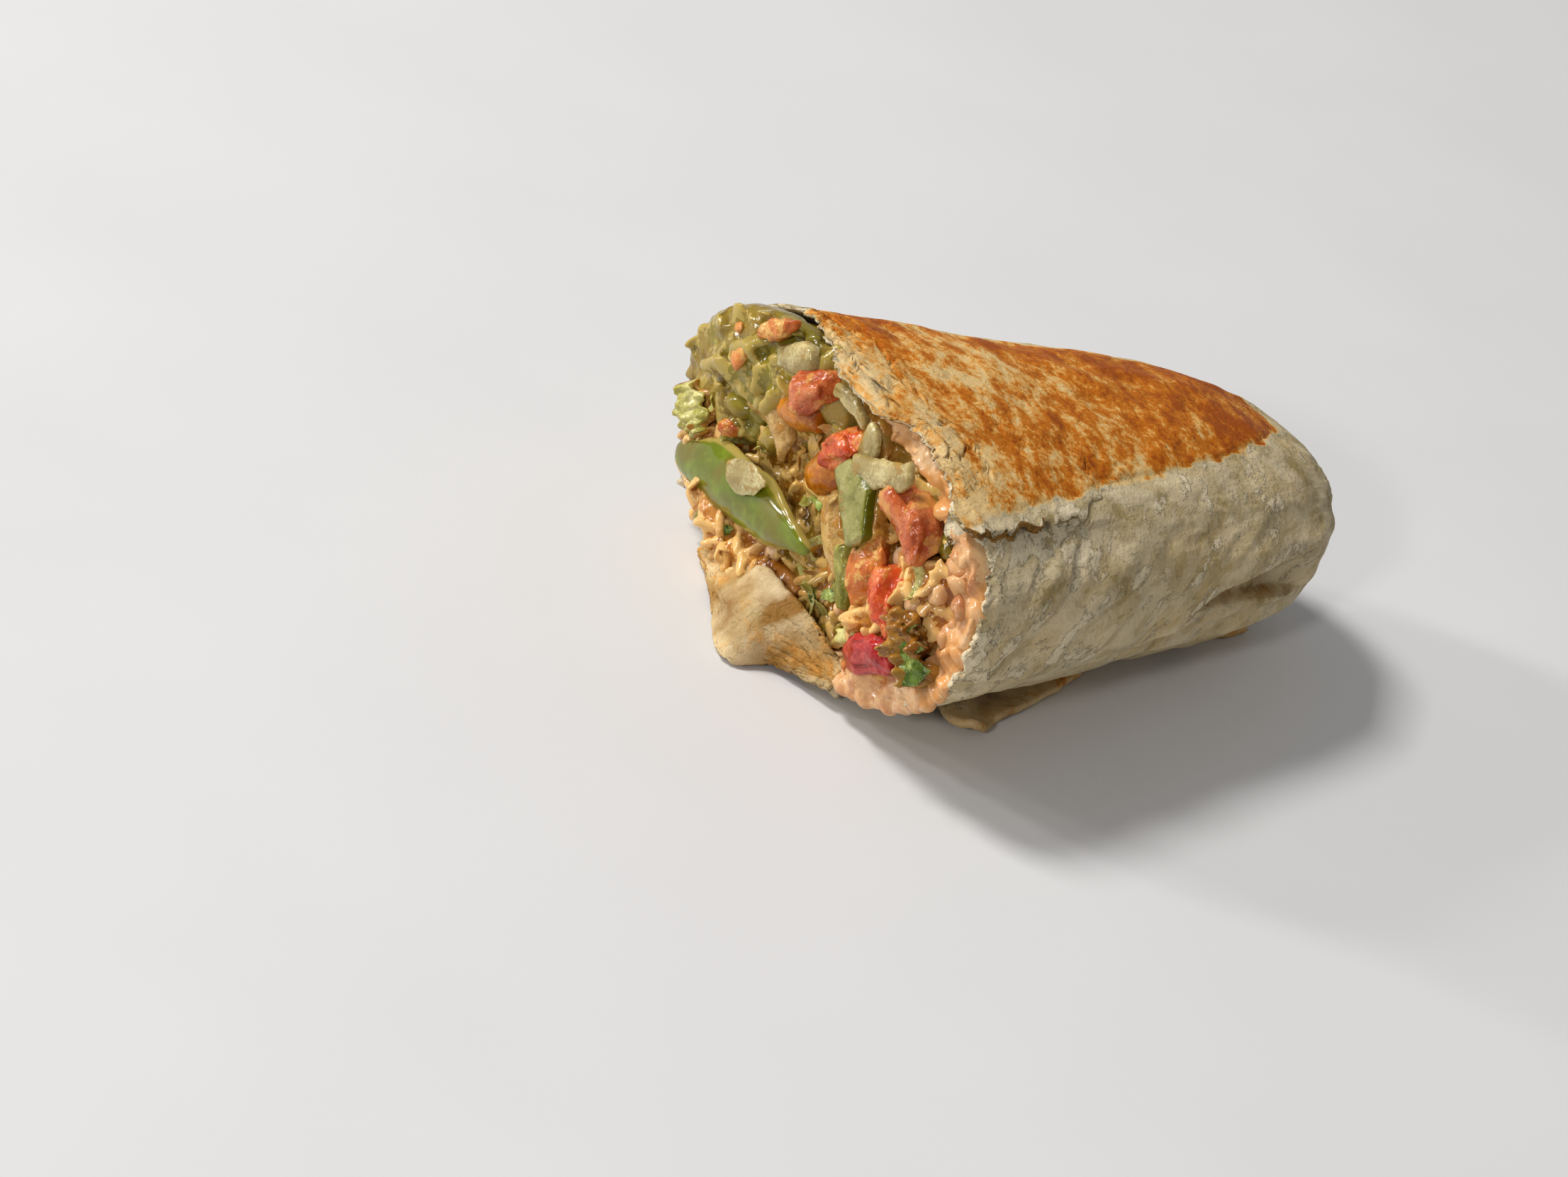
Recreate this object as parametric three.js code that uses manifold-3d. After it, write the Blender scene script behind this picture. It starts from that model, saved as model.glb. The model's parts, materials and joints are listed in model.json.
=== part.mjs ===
// Half of a burrito, cut across and laid on its griddled underside. A flour tortilla is
// wrapped round the filling and tucked shut at the far end. At the cut the filling shows:
// refried beans, rice, guacamole and a salad of shreds, with larger pieces of pepper,
// tomato and onion standing in it.
//
// Millimetres, +Z up. +X runs from the cut to the tucked end, +Y to the back of the roll.
// The origin lies on the flat underside, below the middle of the roll.
import * as THREE from 'three';
import { mergeVertices } from 'three/addons/utils/BufferGeometryUtils.js';
import Module from 'manifold-3d';

const wasm = await Module();
wasm.setup();
const { lerp, smoothstep, degToRad } = THREE.MathUtils;

// The roll.
const ROLL_LENGTH = 117;
const CUT_X = -56;
const CUT_WIDTH = 103;
const CUT_HEIGHT = 57.5;
const END_WIDTH = 51;
const END_HEIGHT = 45;
const END_ROUND_SHARE = 0.35; // share of the length over which the tucked end rounds off
const END_ROUND_POWER = 2.6;
const END_CREST = 0.42; // height of the tucked end's middle, as a share of the roll's height
const END_FLATNESS = 0.3; // how much of its height the roll keeps at the very end
const UNDERSIDE_SHAVE = 1.4; // the weight flattens the underside by this much
const WIDEST_SHARE = 0.51; // height of the widest line, as a share of the roll's height
const CORNER_POWER = { backTop: 2.4, frontTop: 2.75, frontBottom: 1.65, backBottom: 2.5 };
const CUT_LEAN = 0.055; // the cut leans back by this slope

// The tortilla.
const WALL = 2.2;
const END_WALL = 3.2; // added where the end is folded in
const CAVITY_SHARE = 0.9; // the filling reaches this far along the roll
const FIT_GAP = 0.35; // between the tortilla and the filling, and between pieces

// Where the torn rim stands along X, from 0 at the cut, for angles round the section:
// 0 is the back, 90 the top, 180 the front. It is torn away at the back of the top.
const RIM = [
  [-90, 0.5], [-60, 2.4], [-20, 2.4], [20, 2.8], [42, 6], [56, 8], [67, 3], [76, 0.5], [86, -2.6], [95, -3.2],
  [99, 1.6], [110, 0.6], [128, -0.8], [134, 0], [140, 2.6], [160, 1.2], [182, -1], [215, 1], [270, 0.5],
];
const RIM_ROUGHNESS = 0.7;

// Numbers of steps.
const AROUND = 56;
const ALONG = 13;
const ALONG_END = 8;
const CAVITY_AROUND = 32;

const COLOURS = {
  tortilla: 0xcbb58a, beans: 0xb98068, rice: 0xd9a45e, guacamole: 0xa3a35e, salad: 0xb5b477,
  pepperSkin: 0x6f8f2c, pepperFlesh: 0x8f9f62, tomato: 0xd0542c, redPepper: 0xc02330,
  onion: 0xcfc9a0, amber: 0xd08428, herb: 0x4f7a2c, lettuce: 0xb9c878,
};

// A repeatable value from 0 to 1 for three numbers.
function hash(i, j, k) {
  const s = Math.sin(i * 127.1 + j * 311.7 + k * 74.7) * 43758.5453;
  return s - Math.floor(s);
}

// Smooth noise from -1 to 1 at a point.
function noise(x, y, z) {
  const cell = [x, y, z].map(Math.floor);
  const ease = [x, y, z].map((v, n) => {
    const f = v - cell[n];
    return f * f * (3 - 2 * f);
  });
  let sum = 0;
  for (let corner = 0; corner < 8; corner += 1) {
    const step = [corner & 1, (corner >> 1) & 1, (corner >> 2) & 1];
    const weight = step.reduce((w, s, n) => w * (s ? ease[n] : 1 - ease[n]), 1);
    sum += weight * hash(cell[0] + step[0], cell[1] + step[1], cell[2] + step[2]);
  }
  return sum * 2 - 1;
}

function bell(value, middle, width) {
  return Math.exp(-(((value - middle) / width) ** 2));
}

// Straight lines through [input, output] points.
function along(points, value) {
  if (value <= points[0][0]) return points[0][1];
  for (let i = 1; i < points.length; i += 1) {
    const [[a, from], [b, to]] = [points[i - 1], points[i]];
    if (value <= b) return lerp(from, to, (value - a) / (b - a));
  }
  return points[points.length - 1][1];
}

function curveOf(points) {
  return new THREE.CatmullRomCurve3(points.map((p) => new THREE.Vector3(...p)));
}

function solidFromGeometry(geometry) {
  return new wasm.Manifold(new wasm.Mesh({
    numProp: 3,
    vertProperties: new Float32Array(geometry.attributes.position.array),
    triVerts: new Uint32Array(geometry.index.array),
  }));
}

// A closed solid from vertices and triangles, turned so that its faces point outwards.
function solidOf(vertices, triangles) {
  const volume = triangles.reduce((sum, corners) => {
    const [a, b, c] = corners.map((n) => new THREE.Vector3(...vertices[n]));
    return sum + a.dot(b.cross(c)) / 6;
  }, 0);
  const outward = volume > 0 ? triangles : triangles.map(([a, b, c]) => [a, c, b]);
  const geometry = new THREE.BufferGeometry();
  geometry.setAttribute('position', new THREE.Float32BufferAttribute(vertices.flat(), 3));
  geometry.setIndex(outward.flat());
  return solidFromGeometry(mergeVertices(geometry, 1e-4));
}

// A solid through rings of equal count, closed at both ends by a fan.
function ringSolid(rings) {
  const count = rings[0].length;
  const vertices = rings.flat();
  const triangles = [];
  for (let r = 0; r + 1 < rings.length; r += 1) {
    for (let i = 0; i < count; i += 1) {
      const a = r * count + i;
      const b = r * count + ((i + 1) % count);
      triangles.push([a, b, a + count], [b, b + count, a + count]);
    }
  }
  const middle = (ring) => [0, 1, 2].map((n) => ring.reduce((s, p) => s + p[n], 0) / count);
  const first = vertices.push(middle(rings[0])) - 1;
  const last = vertices.push(middle(rings[rings.length - 1])) - 1;
  const base = (rings.length - 1) * count;
  for (let i = 0; i < count; i += 1) {
    const j = (i + 1) % count;
    triangles.push([first, j, i], [last, base + i, base + j]);
  }
  return solidOf(vertices, triangles);
}

// A box bent to any form: place(u, v, w) takes shares from 0 to 1 to a point.
function bentBox(nu, nv, nw, place) {
  const vertices = [];
  const triangles = [];
  const face = (n, m, at, flip) => {
    for (let i = 0; i < n; i += 1) {
      for (let j = 0; j < m; j += 1) {
        const corners = [at(i, j), at(i + 1, j), at(i + 1, j + 1), at(i, j + 1)];
        if (flip) corners.reverse();
        const first = vertices.length;
        vertices.push(...corners);
        triangles.push([first, first + 1, first + 2], [first, first + 2, first + 3]);
      }
    }
  };
  for (const end of [0, 1]) {
    face(nu, nv, (i, j) => place(i / nu, j / nv, end), end === 0);
    face(nv, nw, (i, j) => place(end, i / nv, j / nw), end === 0);
    face(nw, nu, (i, j) => place(j / nu, end, i / nw), end === 0);
  }
  return solidOf(vertices, triangles);
}

// The roll's half width, height and closing share at a share t of its length.
function rollSize(t) {
  const s = Math.max(0, (t - (1 - END_ROUND_SHARE)) / END_ROUND_SHARE);
  return {
    half: lerp(CUT_WIDTH, END_WIDTH, t) / 2,
    height: lerp(CUT_HEIGHT, END_HEIGHT, t),
    close: (1 - Math.min(s, 1) ** END_ROUND_POWER) ** (1 / END_ROUND_POWER),
  };
}

// A point of the roll's section at an angle. inset moves it in from the outside, and depth
// draws it towards the middle of the section.
function sectionPoint(t, degrees, inset, depth = 1) {
  const { half, height, close } = rollSize(t);
  const c = Math.cos(degToRad(degrees));
  const s = Math.sin(degToRad(degrees));
  const power = CORNER_POWER[(c >= 0 ? 'back' : 'front') + (s >= 0 ? 'Top' : 'Bottom')];
  const y = Math.sign(c) * Math.abs(c) ** (2 / power) * (half * close - inset);
  const reach = (s >= 0 ? 1 - WIDEST_SHARE : WIDEST_SHARE) * height - inset;
  const z = WIDEST_SHARE * height + Math.sign(s) * Math.abs(s) ** (2 / power) * reach;
  const crest = END_CREST * height;
  const kept = END_FLATNESS + (1 - END_FLATNESS) * close;
  const middle = crest + (WIDEST_SHARE * height - crest) * kept;
  return { y: y * depth, z: middle + (crest + (z - crest) * kept - middle) * depth };
}

// The underside's height at a place inside the roll's outline.
function undersideAt(x, y) {
  const { half, height, close } = rollSize(x / ROLL_LENGTH);
  const power = CORNER_POWER[y >= 0 ? 'backBottom' : 'frontBottom'];
  const inside = Math.max(0, 1 - Math.min(1, Math.abs(y) / (half * close)) ** power);
  const z = WIDEST_SHARE * height * (1 - inside ** (1 / power));
  const crest = END_CREST * height;
  return Math.max(0, crest + (z - crest) * (END_FLATNESS + (1 - END_FLATNESS) * close) - UNDERSIDE_SHAVE);
}

// The shares of the length where rings stand, closer together where the end rounds off.
function ringShares(reach, every = 1) {
  const straight = 1 - END_ROUND_SHARE;
  const shares = [];
  for (let i = 0; i < ALONG; i += every) shares.push((straight * i) / ALONG);
  const lastAngle = Math.PI / 2 - 0.11;
  for (let i = 0; i <= ALONG_END; i += every) {
    const rise = Math.sin((lastAngle * i) / ALONG_END) ** (2 / END_ROUND_POWER);
    shares.push(straight + END_ROUND_SHARE * rise);
  }
  return shares.filter((t) => t <= reach);
}

// How far the outside of the tortilla stands out: wrinkles, the torn seam on the front
// shoulder, two slanting creases below it, and the fold and hollow of the tucked end.
function outerRelief(x, degrees) {
  const wrinkle = 0.45 * noise(x / 11, degrees / 16, 3.7) + 0.3 * noise(x / 5, degrees / 9, 8.2);
  const below = Math.max(0, degrees - 134);
  const seam = below > 0 ? -1.5 * Math.exp(-below / 16) * (1 - smoothstep(x, 22, 44)) : 0;
  const nearCrease = 1.1 * bell(degrees + 1.9 * x, 188, 6) * bell(x, 16, 13);
  const farCrease = 1.0 * bell(degrees + 1.6 * x, 214, 7) * bell(x, 32, 13);
  const hollow = -3.0 * bell(x, 84, 16) * bell(degrees, 177, 9);
  const fold = 1.0 * bell(degrees, 158, 9) * smoothstep(x, 45, 80);
  const lip = -1.5 * bell(degrees, 191, 5) * smoothstep(x, 48, 70);
  return wrinkle + seam + nearCrease + farCrease + hollow + fold + lip;
}

function rimShift(degrees) {
  const a = degrees > 270 ? degrees - 360 : degrees;
  const tear = noise(a / 13, 4.1, 0) + 0.6 * noise(a / 5, 9.4, 0);
  return along(RIM, a) + RIM_ROUGHNESS * tear;
}

function outerPoint(t, degrees) {
  const { y, z } = sectionPoint(t, degrees, 0);
  const bulge = outerRelief(t * ROLL_LENGTH, degrees);
  const a = degToRad(degrees);
  const outZ = Math.max(0, z + Math.sin(a) * bulge - UNDERSIDE_SHAVE);
  const nearCut = (1 - t) ** 8;
  const x = CUT_X + t * ROLL_LENGTH + nearCut * ((z - CUT_HEIGHT / 2) * CUT_LEAN + rimShift(degrees));
  return [x, y + Math.cos(a) * bulge, outZ];
}

// A point inside the tortilla: gap is what it keeps from the wall.
function innerPoint(t, degrees, gap, depth = 1) {
  const inset = WALL + gap + END_WALL * smoothstep(t * ROLL_LENGTH, 50, 88);
  const { y, z } = sectionPoint(t, degrees, inset, depth);
  const lean = (1 - t) ** 8 * (z - CUT_HEIGHT / 2) * CUT_LEAN;
  const lowered = z - UNDERSIDE_SHAVE * (1 - z / CUT_HEIGHT);
  return [CUT_X + t * ROLL_LENGTH + lean, y, Math.max(WALL + gap, lowered)];
}

function ringOf(count, pointAt) {
  return Array.from({ length: count }, (_, i) => pointAt((360 * i) / count));
}

// The wall of the roll, open at the cut.
function rollWall() {
  const outside = ringShares(1).map((t) => ringOf(AROUND, (a) => outerPoint(t, a)));
  const mouth = ringOf(CAVITY_AROUND, (a) => {
    const [x, y, z] = innerPoint(0, a, 0);
    return [x - 15, y, z];
  });
  const cavity = ringShares(CAVITY_SHARE, 2).map((t) => ringOf(CAVITY_AROUND, (a) => innerPoint(t, a, 0)));
  return ringSolid(outside).subtract(ringSolid([mouth, ...cavity]));
}

// The gap under the torn edge of the outer layer, on the front shoulder near the cut.
function seamSlit() {
  const length = 26;
  return bentBox(7, 2, 1, (u, v, w) => {
    const x = u * (length + 8) - 8;
    const open = 2.6 * (1 - 0.85 * Math.max(0, x / length));
    const middle = 136 - 0.15 * x + 2 * noise(u * 4, 2.2, 0);
    const { y, z } = sectionPoint(Math.max(x / ROLL_LENGTH, 0), middle + (v - 0.5) * 2 * open, 0, 0.86 + 0.26 * w);
    return [CUT_X + x, y, z - UNDERSIDE_SHAVE];
  });
}

// The edge of the last turn lies flat under the front of the roll, ruffled near the cut.
const SKIRT = { thick: 1.9, start: 19, end: 106, under: 17, rise: 0.7 };
function skirtEdge(x) {
  const ruffle = 1.8 * Math.sin((x - 19) / 3.1) * bell(x, 21, 10);
  return lerp(-34.5, -11, smoothstep(x, 15, 90)) - ruffle - 1.5 * bell(x, 99, 6);
}
function underSkirt() {
  return bentBox(22, 3, 1, (u, v, w) => {
    const x = lerp(SKIRT.start, SKIRT.end, u);
    const lift = 1.6 * (1 + Math.sin((x - 16) / 2.7)) * bell(x, 24, 9) * (1 - v) ** 2;
    const y = skirtEdge(x) + v * SKIRT.under;
    const thick = SKIRT.thick * (0.55 + 0.45 * Math.min(1, v * 3));
    const belly = v ** 2 * (undersideAt(x, y) + SKIRT.rise);
    return [CUT_X + x, y, lift + Math.max(0, belly - SKIRT.rise) + w * thick];
  });
}

// The inner turn's corner stands up from the rim and flops forwards out of the cut.
const TONGUE = {
  thick: 1.7,
  root: [[0.6, 27, 0.6], [0.9, 15, 0.6], [1.0, 3, 0.6], [1.0, -9, 0.6], [1.2, -21, 1.4]],
  crest: [[-0.6, 27, 2.2], [-1.8, 15, 7], [-2.6, 4, 12.6], [-2.4, -9, 12.4], [0.4, -21, 8]],
  foot: [[-0.8, 26, 0], [-7, 11, 0], [-14, -5.5, 0], [-5, -9, 1.2], [-0.6, -21, 3.4]],
};
function tongue() {
  const [root, crest, foot] = [TONGUE.root, TONGUE.crest, TONGUE.foot].map(curveOf);
  const stand = bentBox(8, 2, 1, (u, v, w) => {
    const p = root.getPoint(u).lerp(crest.getPoint(u), v);
    return [CUT_X + p.x + (w - 0.1) * TONGUE.thick, p.y, p.z - (v > 0.9 ? 0.4 : 0)];
  });
  const flop = bentBox(10, 4, 1, (u, v, w) => {
    const p = crest.getPoint(u).lerp(foot.getPoint(u), v);
    const middle = Math.sin(Math.PI * v);
    const bow = 1.2 * middle * Math.sin(Math.PI * u) + 0.7 * noise(u * 5, v * 3, 5.1) * middle;
    const back = (1 - w) * TONGUE.thick;
    return [CUT_X + p.x - bow + back * 0.9, p.y, Math.max(0, p.z - back * 0.25 * (1 - v))];
  });
  return stand.add(flop);
}

// Each layer of filling takes a range of angles and of depths of the section. It stands
// out of the cut by bulge in its middle, on a face that lies behind the cut at its sides.
const FACE_DEPTH = 1.6;
const LAYER_GAP = 0.025; // between layers, as a share of the depth
const LAYERS = {
  refried_beans: { from: 89, to: 262, inner: 0.85, outer: 1, steps: 18, rows: 1, rough: 1.4, bulge: 3 },
  guacamole: { from: -8, to: 86, inner: 0.5, outer: 1, steps: 9, rows: 2, rough: 1.7, bulge: 5.5 },
  rice_back: { from: 265, to: 349, inner: 0.6, outer: 1, steps: 9, rows: 2, rough: 1.2, bulge: 5 },
  rice_front: { from: 150, to: 236, inner: 0.46, outer: 0.825, steps: 8, rows: 2, rough: 1.4, bulge: 4 },
};

function faceRoughness(y, z, amount, seed) {
  return amount * (noise(y / 5, z / 5, seed) + 0.5 * noise(y / 2.4, z / 2.4, seed + 5));
}

// How far a layer's face stands out of the cut, at shares u round it and v outwards.
function faceOut({ bulge, rows }, u, v) {
  return bulge * Math.sin(Math.PI * u) ** 0.6 * (rows > 1 ? Math.sin(Math.PI * v) : 0.6) - FACE_DEPTH;
}

function layerSolid(layer, seed) {
  const { from, to, inner, outer, steps, rows, rough } = layer;
  return bentBox(steps, rows, 6, (u, v, w) => {
    const t = w * (CAVITY_SHARE - 0.02);
    const [x, y, z] = innerPoint(t, lerp(from, to, u), FIT_GAP, lerp(inner, outer, v));
    return w > 0 ? [x, y, z] : [x - faceOut(layer, u, v) + faceRoughness(y, z, rough, seed), y, z];
  });
}

// The guacamole swells over the rim where the tortilla is torn away.
function guacamoleSwell() {
  return bentBox(9, 1, 3, (u, v, w) => {
    const degrees = lerp(-4, 74, u);
    const { y, z } = sectionPoint(0, degrees, 0.2, lerp(0.72, 1, v));
    const ends = Math.sin(Math.PI * u) ** 0.5;
    const x = lerp(-3.4 * ends + 1, 2 + 7 * ends, w) + faceRoughness(y, z, 0.8, 9.1) * (1 - w);
    const round = 1 - 0.06 * (2 * w - 0.8) ** 2 * v;
    return [CUT_X + x, y * round, WIDEST_SHARE * CUT_HEIGHT + (z - WIDEST_SHARE * CUT_HEIGHT) * round];
  });
}

// The salad fills what the other layers leave in the middle.
function saladReach(degrees) {
  const a = (degrees + 360) % 360;
  const within = (low, high) => a > low && a < high;
  if (within(148, 238)) return LAYERS.rice_front.inner - LAYER_GAP;
  if (within(263, 351)) return LAYERS.rice_back.inner - LAYER_GAP;
  if (a > 350 || a < 88) return LAYERS.guacamole.inner - LAYER_GAP;
  return LAYERS.refried_beans.inner - LAYER_GAP;
}

function saladCore() {
  const count = 40;
  const ring = (t, share) => ringOf(count, (a) => {
    const depth = Math.min(saladReach(a - 4), saladReach(a), saladReach(a + 4));
    const [x, y, z] = innerPoint(t, a, FIT_GAP, depth * share);
    const face = t === 0 ? FACE_DEPTH + 0.6 + faceRoughness(y, z, 2.2, 6.6) : 0;
    return [x + face, y, z];
  });
  const face = [0.3, 0.65, 1].map((share) => ring(0, share));
  const body = [0.1, 0.25, 0.4, 0.55, 0.7, 0.85].map((t) => ring(t, 1));
  return ringSolid([...face, ...body]);
}

// Puts a piece on the cut: across is +Y, up is +Z, and out stands clear of the cut. turn is
// its long side's angle in the cut, from +Y towards +Z, and swing tips that side outwards.
function placed(solid, { across, up, out = 0, turn = 0, swing = 0 }) {
  const matrix = new THREE.Matrix4().makeRotationX(degToRad(turn));
  matrix.multiply(new THREE.Matrix4().makeRotationZ(degToRad(swing)));
  matrix.setPosition(CUT_X - out, across, up);
  return solid.transform(matrix.elements);
}

// Chunks, slices and leaves lie along Y (long), Z (wide) and X (deep or thick), and grow
// by a margin all round where one is used to make room for itself.

// A cut chunk: a box with worn corners.
function chunk({ long, wide, deep, worn = 0.62, rough = 0.5, seed = 1 }, grow = 0) {
  const ball = new THREE.IcosahedronGeometry(1, 1);
  ball.deleteAttribute('normal');
  ball.deleteAttribute('uv');
  const merged = mergeVertices(ball, 1e-3);
  const position = merged.attributes.position;
  const squared = (v, size) => Math.sign(v) * (Math.abs(v) ** worn * size + Math.min(1, Math.abs(v) * 4) * grow);
  for (let i = 0; i < position.count; i += 1) {
    const [x, y, z] = [position.getX(i), position.getY(i), position.getZ(i)];
    const swell = 1 + (rough * noise(x * 1.7 + seed, y * 1.7, z * 1.7)) / Math.min(wide, deep);
    position.setXYZ(
      i,
      squared(x, (swell * deep) / 2),
      squared(y, (swell * long) / 2),
      squared(z, (swell * wide) / 2),
    );
  }
  return solidFromGeometry(merged);
}

// A place along a piece's length, and its share from -1 to 1 of the length without grow.
function lengthwise(u, long, grow) {
  const y = (u * 2 - 1) * (long / 2 + grow);
  return { y, s: THREE.MathUtils.clamp(y / (long / 2), -1, 1) };
}

// A curved slice, tapered at both ends: bow bends it across and cup hollows it.
function slice({ long, wide, thick, bow = 0, cup = 0, taper = 0.3, seed = 1, steps = 7 }, grow = 0) {
  return bentBox(steps, 3, 1, (u, v, w) => {
    const { y, s } = lengthwise(u, long, grow);
    const narrow = 1 - taper * s * s - 0.06 * noise(s * 2.5, seed, 0);
    const across = (v * 2 - 1) * ((wide / 2) * narrow + grow);
    const r = across / (wide / 2);
    const x = (0.5 - w) * (thick * (1 - 0.25 * r * r) + 2 * grow) + cup * (r * r + 0.7 * s * s);
    return [x, y, across + bow * (1 - s * s)];
  });
}

// A thin wavy leaf.
function leaf({ long, wide, thick = 0.9, seed = 1 }, grow = 0) {
  return bentBox(7, 3, 1, (u, v, w) => {
    const { y, s } = lengthwise(u, long, grow);
    const r = v * 2 - 1;
    const lobe = (1 - 0.55 * s * s) * (1 + 0.22 * Math.sin(s * 8.5 + seed));
    const wave = 1.1 * noise(s * 1.5 + seed, v * 3, 1.2);
    return [(0.5 - w) * (thick + 2 * grow) + wave, y, r * ((wide / 2) * lobe + grow)];
  });
}

// The pieces that stand in the cut, front ones first: a later one gives way to the earlier.
const PIECES = [
  {
    name: 'onion_flake', make: slice, colour: 'onion',
    size: { long: 12, wide: 6, thick: 1.2, seed: 3 }, at: { across: 12.5, up: 28.5, out: 7.2, turn: 152 },
  },
  {
    name: 'green_pepper_strip', make: slice, colour: 'pepperSkin',
    size: { long: 49, wide: 14, thick: 3.4, bow: -1.6, cup: 1.6, taper: 0.72, steps: 10 },
    at: { across: 19, up: 18.5, out: 3.6, turn: 168, swing: 3 },
  },
  {
    name: 'green_pepper_slab', make: slice, colour: 'pepperFlesh',
    size: { long: 15, wide: 8.5, thick: 4.5, taper: 0.25, bow: 0.8, seed: 2 },
    at: { across: -11, up: 38, out: 2.4, turn: 37 },
  },
  {
    name: 'tomato_red', make: chunk, colour: 'tomato',
    size: { long: 12, wide: 8, deep: 8, rough: 1, seed: 4 }, at: { across: -28, up: 28, out: 2.4, turn: 55 },
  },
  {
    name: 'tomato_orange', make: chunk, colour: 'tomato',
    size: { long: 15, wide: 7.5, deep: 7, rough: 1.6, seed: 5 }, at: { across: -20, up: 28, out: 2, turn: 66 },
  },
  {
    name: 'red_pepper', make: chunk, colour: 'redPepper',
    size: { long: 13, wide: 7, deep: 6, worn: 0.5, seed: 6 }, at: { across: -29.5, up: 18, out: 2.6, turn: 140 },
  },
  {
    name: 'tomato_speckled', make: chunk, colour: 'tomato',
    size: { long: 14.5, wide: 7, deep: 7, rough: 1.2, seed: 8 }, at: { across: -26, up: 44, out: 1, turn: 22 },
  },
  {
    name: 'onion_bar', make: chunk, colour: 'onion',
    size: { long: 16, wide: 5.5, deep: 5.5, worn: 0.55, seed: 9 }, at: { across: -16.5, up: 49, out: 1.6, turn: 150 },
  },
  {
    name: 'tomato_middle', make: chunk, colour: 'tomato',
    size: { long: 12, wide: 7, deep: 7, rough: 1.4, seed: 11 }, at: { across: -1, up: 43.5, out: 1, turn: 128 },
  },
  {
    name: 'tomato_upper', make: chunk, colour: 'tomato',
    size: { long: 9.5, wide: 7, deep: 7, rough: 1, seed: 12 }, at: { across: 11, up: 47.5, out: 1.6, turn: 145 },
  },
  {
    name: 'orange_pepper', make: slice, colour: 'amber',
    size: { long: 12, wide: 6, thick: 3, cup: 1, seed: 5 }, at: { across: 14, up: 41, out: 0.9, turn: 159 },
  },
  {
    name: 'onion_white', make: chunk, colour: 'onion',
    size: { long: 10.5, wide: 5, deep: 6, worn: 0.5, seed: 14 }, at: { across: 18, up: 50, out: 1.2, turn: 147 },
  },
  {
    name: 'onion_curved', make: slice, colour: 'onion',
    size: { long: 12, wide: 4.5, thick: 3, bow: 1.2, seed: 6 }, at: { across: 0.5, up: 50.5, out: 0.8, turn: 5 },
  },
  {
    name: 'onion_glassy', make: chunk, colour: 'onion',
    size: { long: 8, wide: 6, deep: 5, seed: 15 }, at: { across: -7, up: 49, out: 1.4, turn: 114 },
  },
  {
    name: 'amber_pepper', make: slice, colour: 'amber',
    size: { long: 10, wide: 6.5, thick: 2.4, cup: 1.2, seed: 7 }, at: { across: 3, up: 35, out: 0.8, turn: 136 },
  },
  {
    name: 'onion_arc', make: slice, colour: 'onion',
    size: { long: 14, wide: 7, thick: 3, bow: 3, cup: 0.8, seed: 8 }, at: { across: 21.5, up: 33, out: 1.4, turn: 6 },
  },
  {
    name: 'onion_amber', make: slice, colour: 'onion',
    size: { long: 9.5, wide: 7.5, thick: 3, seed: 9 }, at: { across: 23, up: 42.5, out: 1, turn: 175 },
  },
  {
    name: 'cabbage_strip', make: slice, colour: 'onion',
    size: { long: 14, wide: 5.5, thick: 2, bow: -1.2, seed: 10 }, at: { across: -7.5, up: 29, out: 1.6, turn: 40 },
  },
  {
    name: 'celery_stalk', make: chunk, colour: 'herb',
    size: { long: 10, wide: 3.4, deep: 3.6, seed: 17 }, at: { across: -13.5, up: 23.5, out: 1.6, turn: 58 },
  },
  {
    name: 'cucumber_piece', make: chunk, colour: 'lettuce',
    size: { long: 11, wide: 4, deep: 5, seed: 18 }, at: { across: -21.5, up: 16, out: 1.2, turn: 140 },
  },
  {
    name: 'orange_slice', make: chunk, colour: 'amber',
    size: { long: 9.5, wide: 3, deep: 4, seed: 19 }, at: { across: 25, up: 52, out: 2.2, turn: 138 },
  },
  {
    name: 'herb_leaf', make: leaf, colour: 'herb',
    size: { long: 12, wide: 7.5, seed: 2 }, at: { across: -39.5, up: 23, out: 1.8, turn: 22 },
  },
  {
    name: 'lettuce_heart', make: leaf, colour: 'lettuce',
    size: { long: 10, wide: 7.5, thick: 1.6, seed: 5 }, at: { across: 42.5, up: 23, out: 1.6, turn: 38 },
  },
];

// Grains of rice and shreds of salad, each with its own length and turn.
function grain(seed, grow = 0) {
  return bentBox(2, 1, 1, (u, v, w) => {
    const { y, s } = lengthwise(u, 6 + 1.6 * hash(seed, 2, 0), grow);
    const thick = 2.5 - 1.1 * Math.abs(s) + 2 * grow;
    return [(w - 0.5) * thick, y, (v - 0.5) * thick];
  });
}

function shred(seed, grow = 0) {
  return bentBox(4, 1, 1, (u, v, w) => {
    const { y, s } = lengthwise(u, 7 + 5 * hash(seed, 4, 0), grow);
    return [
      (w - 0.5) * (1.2 + 2 * grow) + 1.6 * noise(s * 1.5, seed, 0),
      y,
      (v - 0.5) * (1.7 * (1.1 - 0.5 * s * s) + 2 * grow) + 1.2 * noise(s * 1.2, seed, 7),
    ];
  });
}

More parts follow.
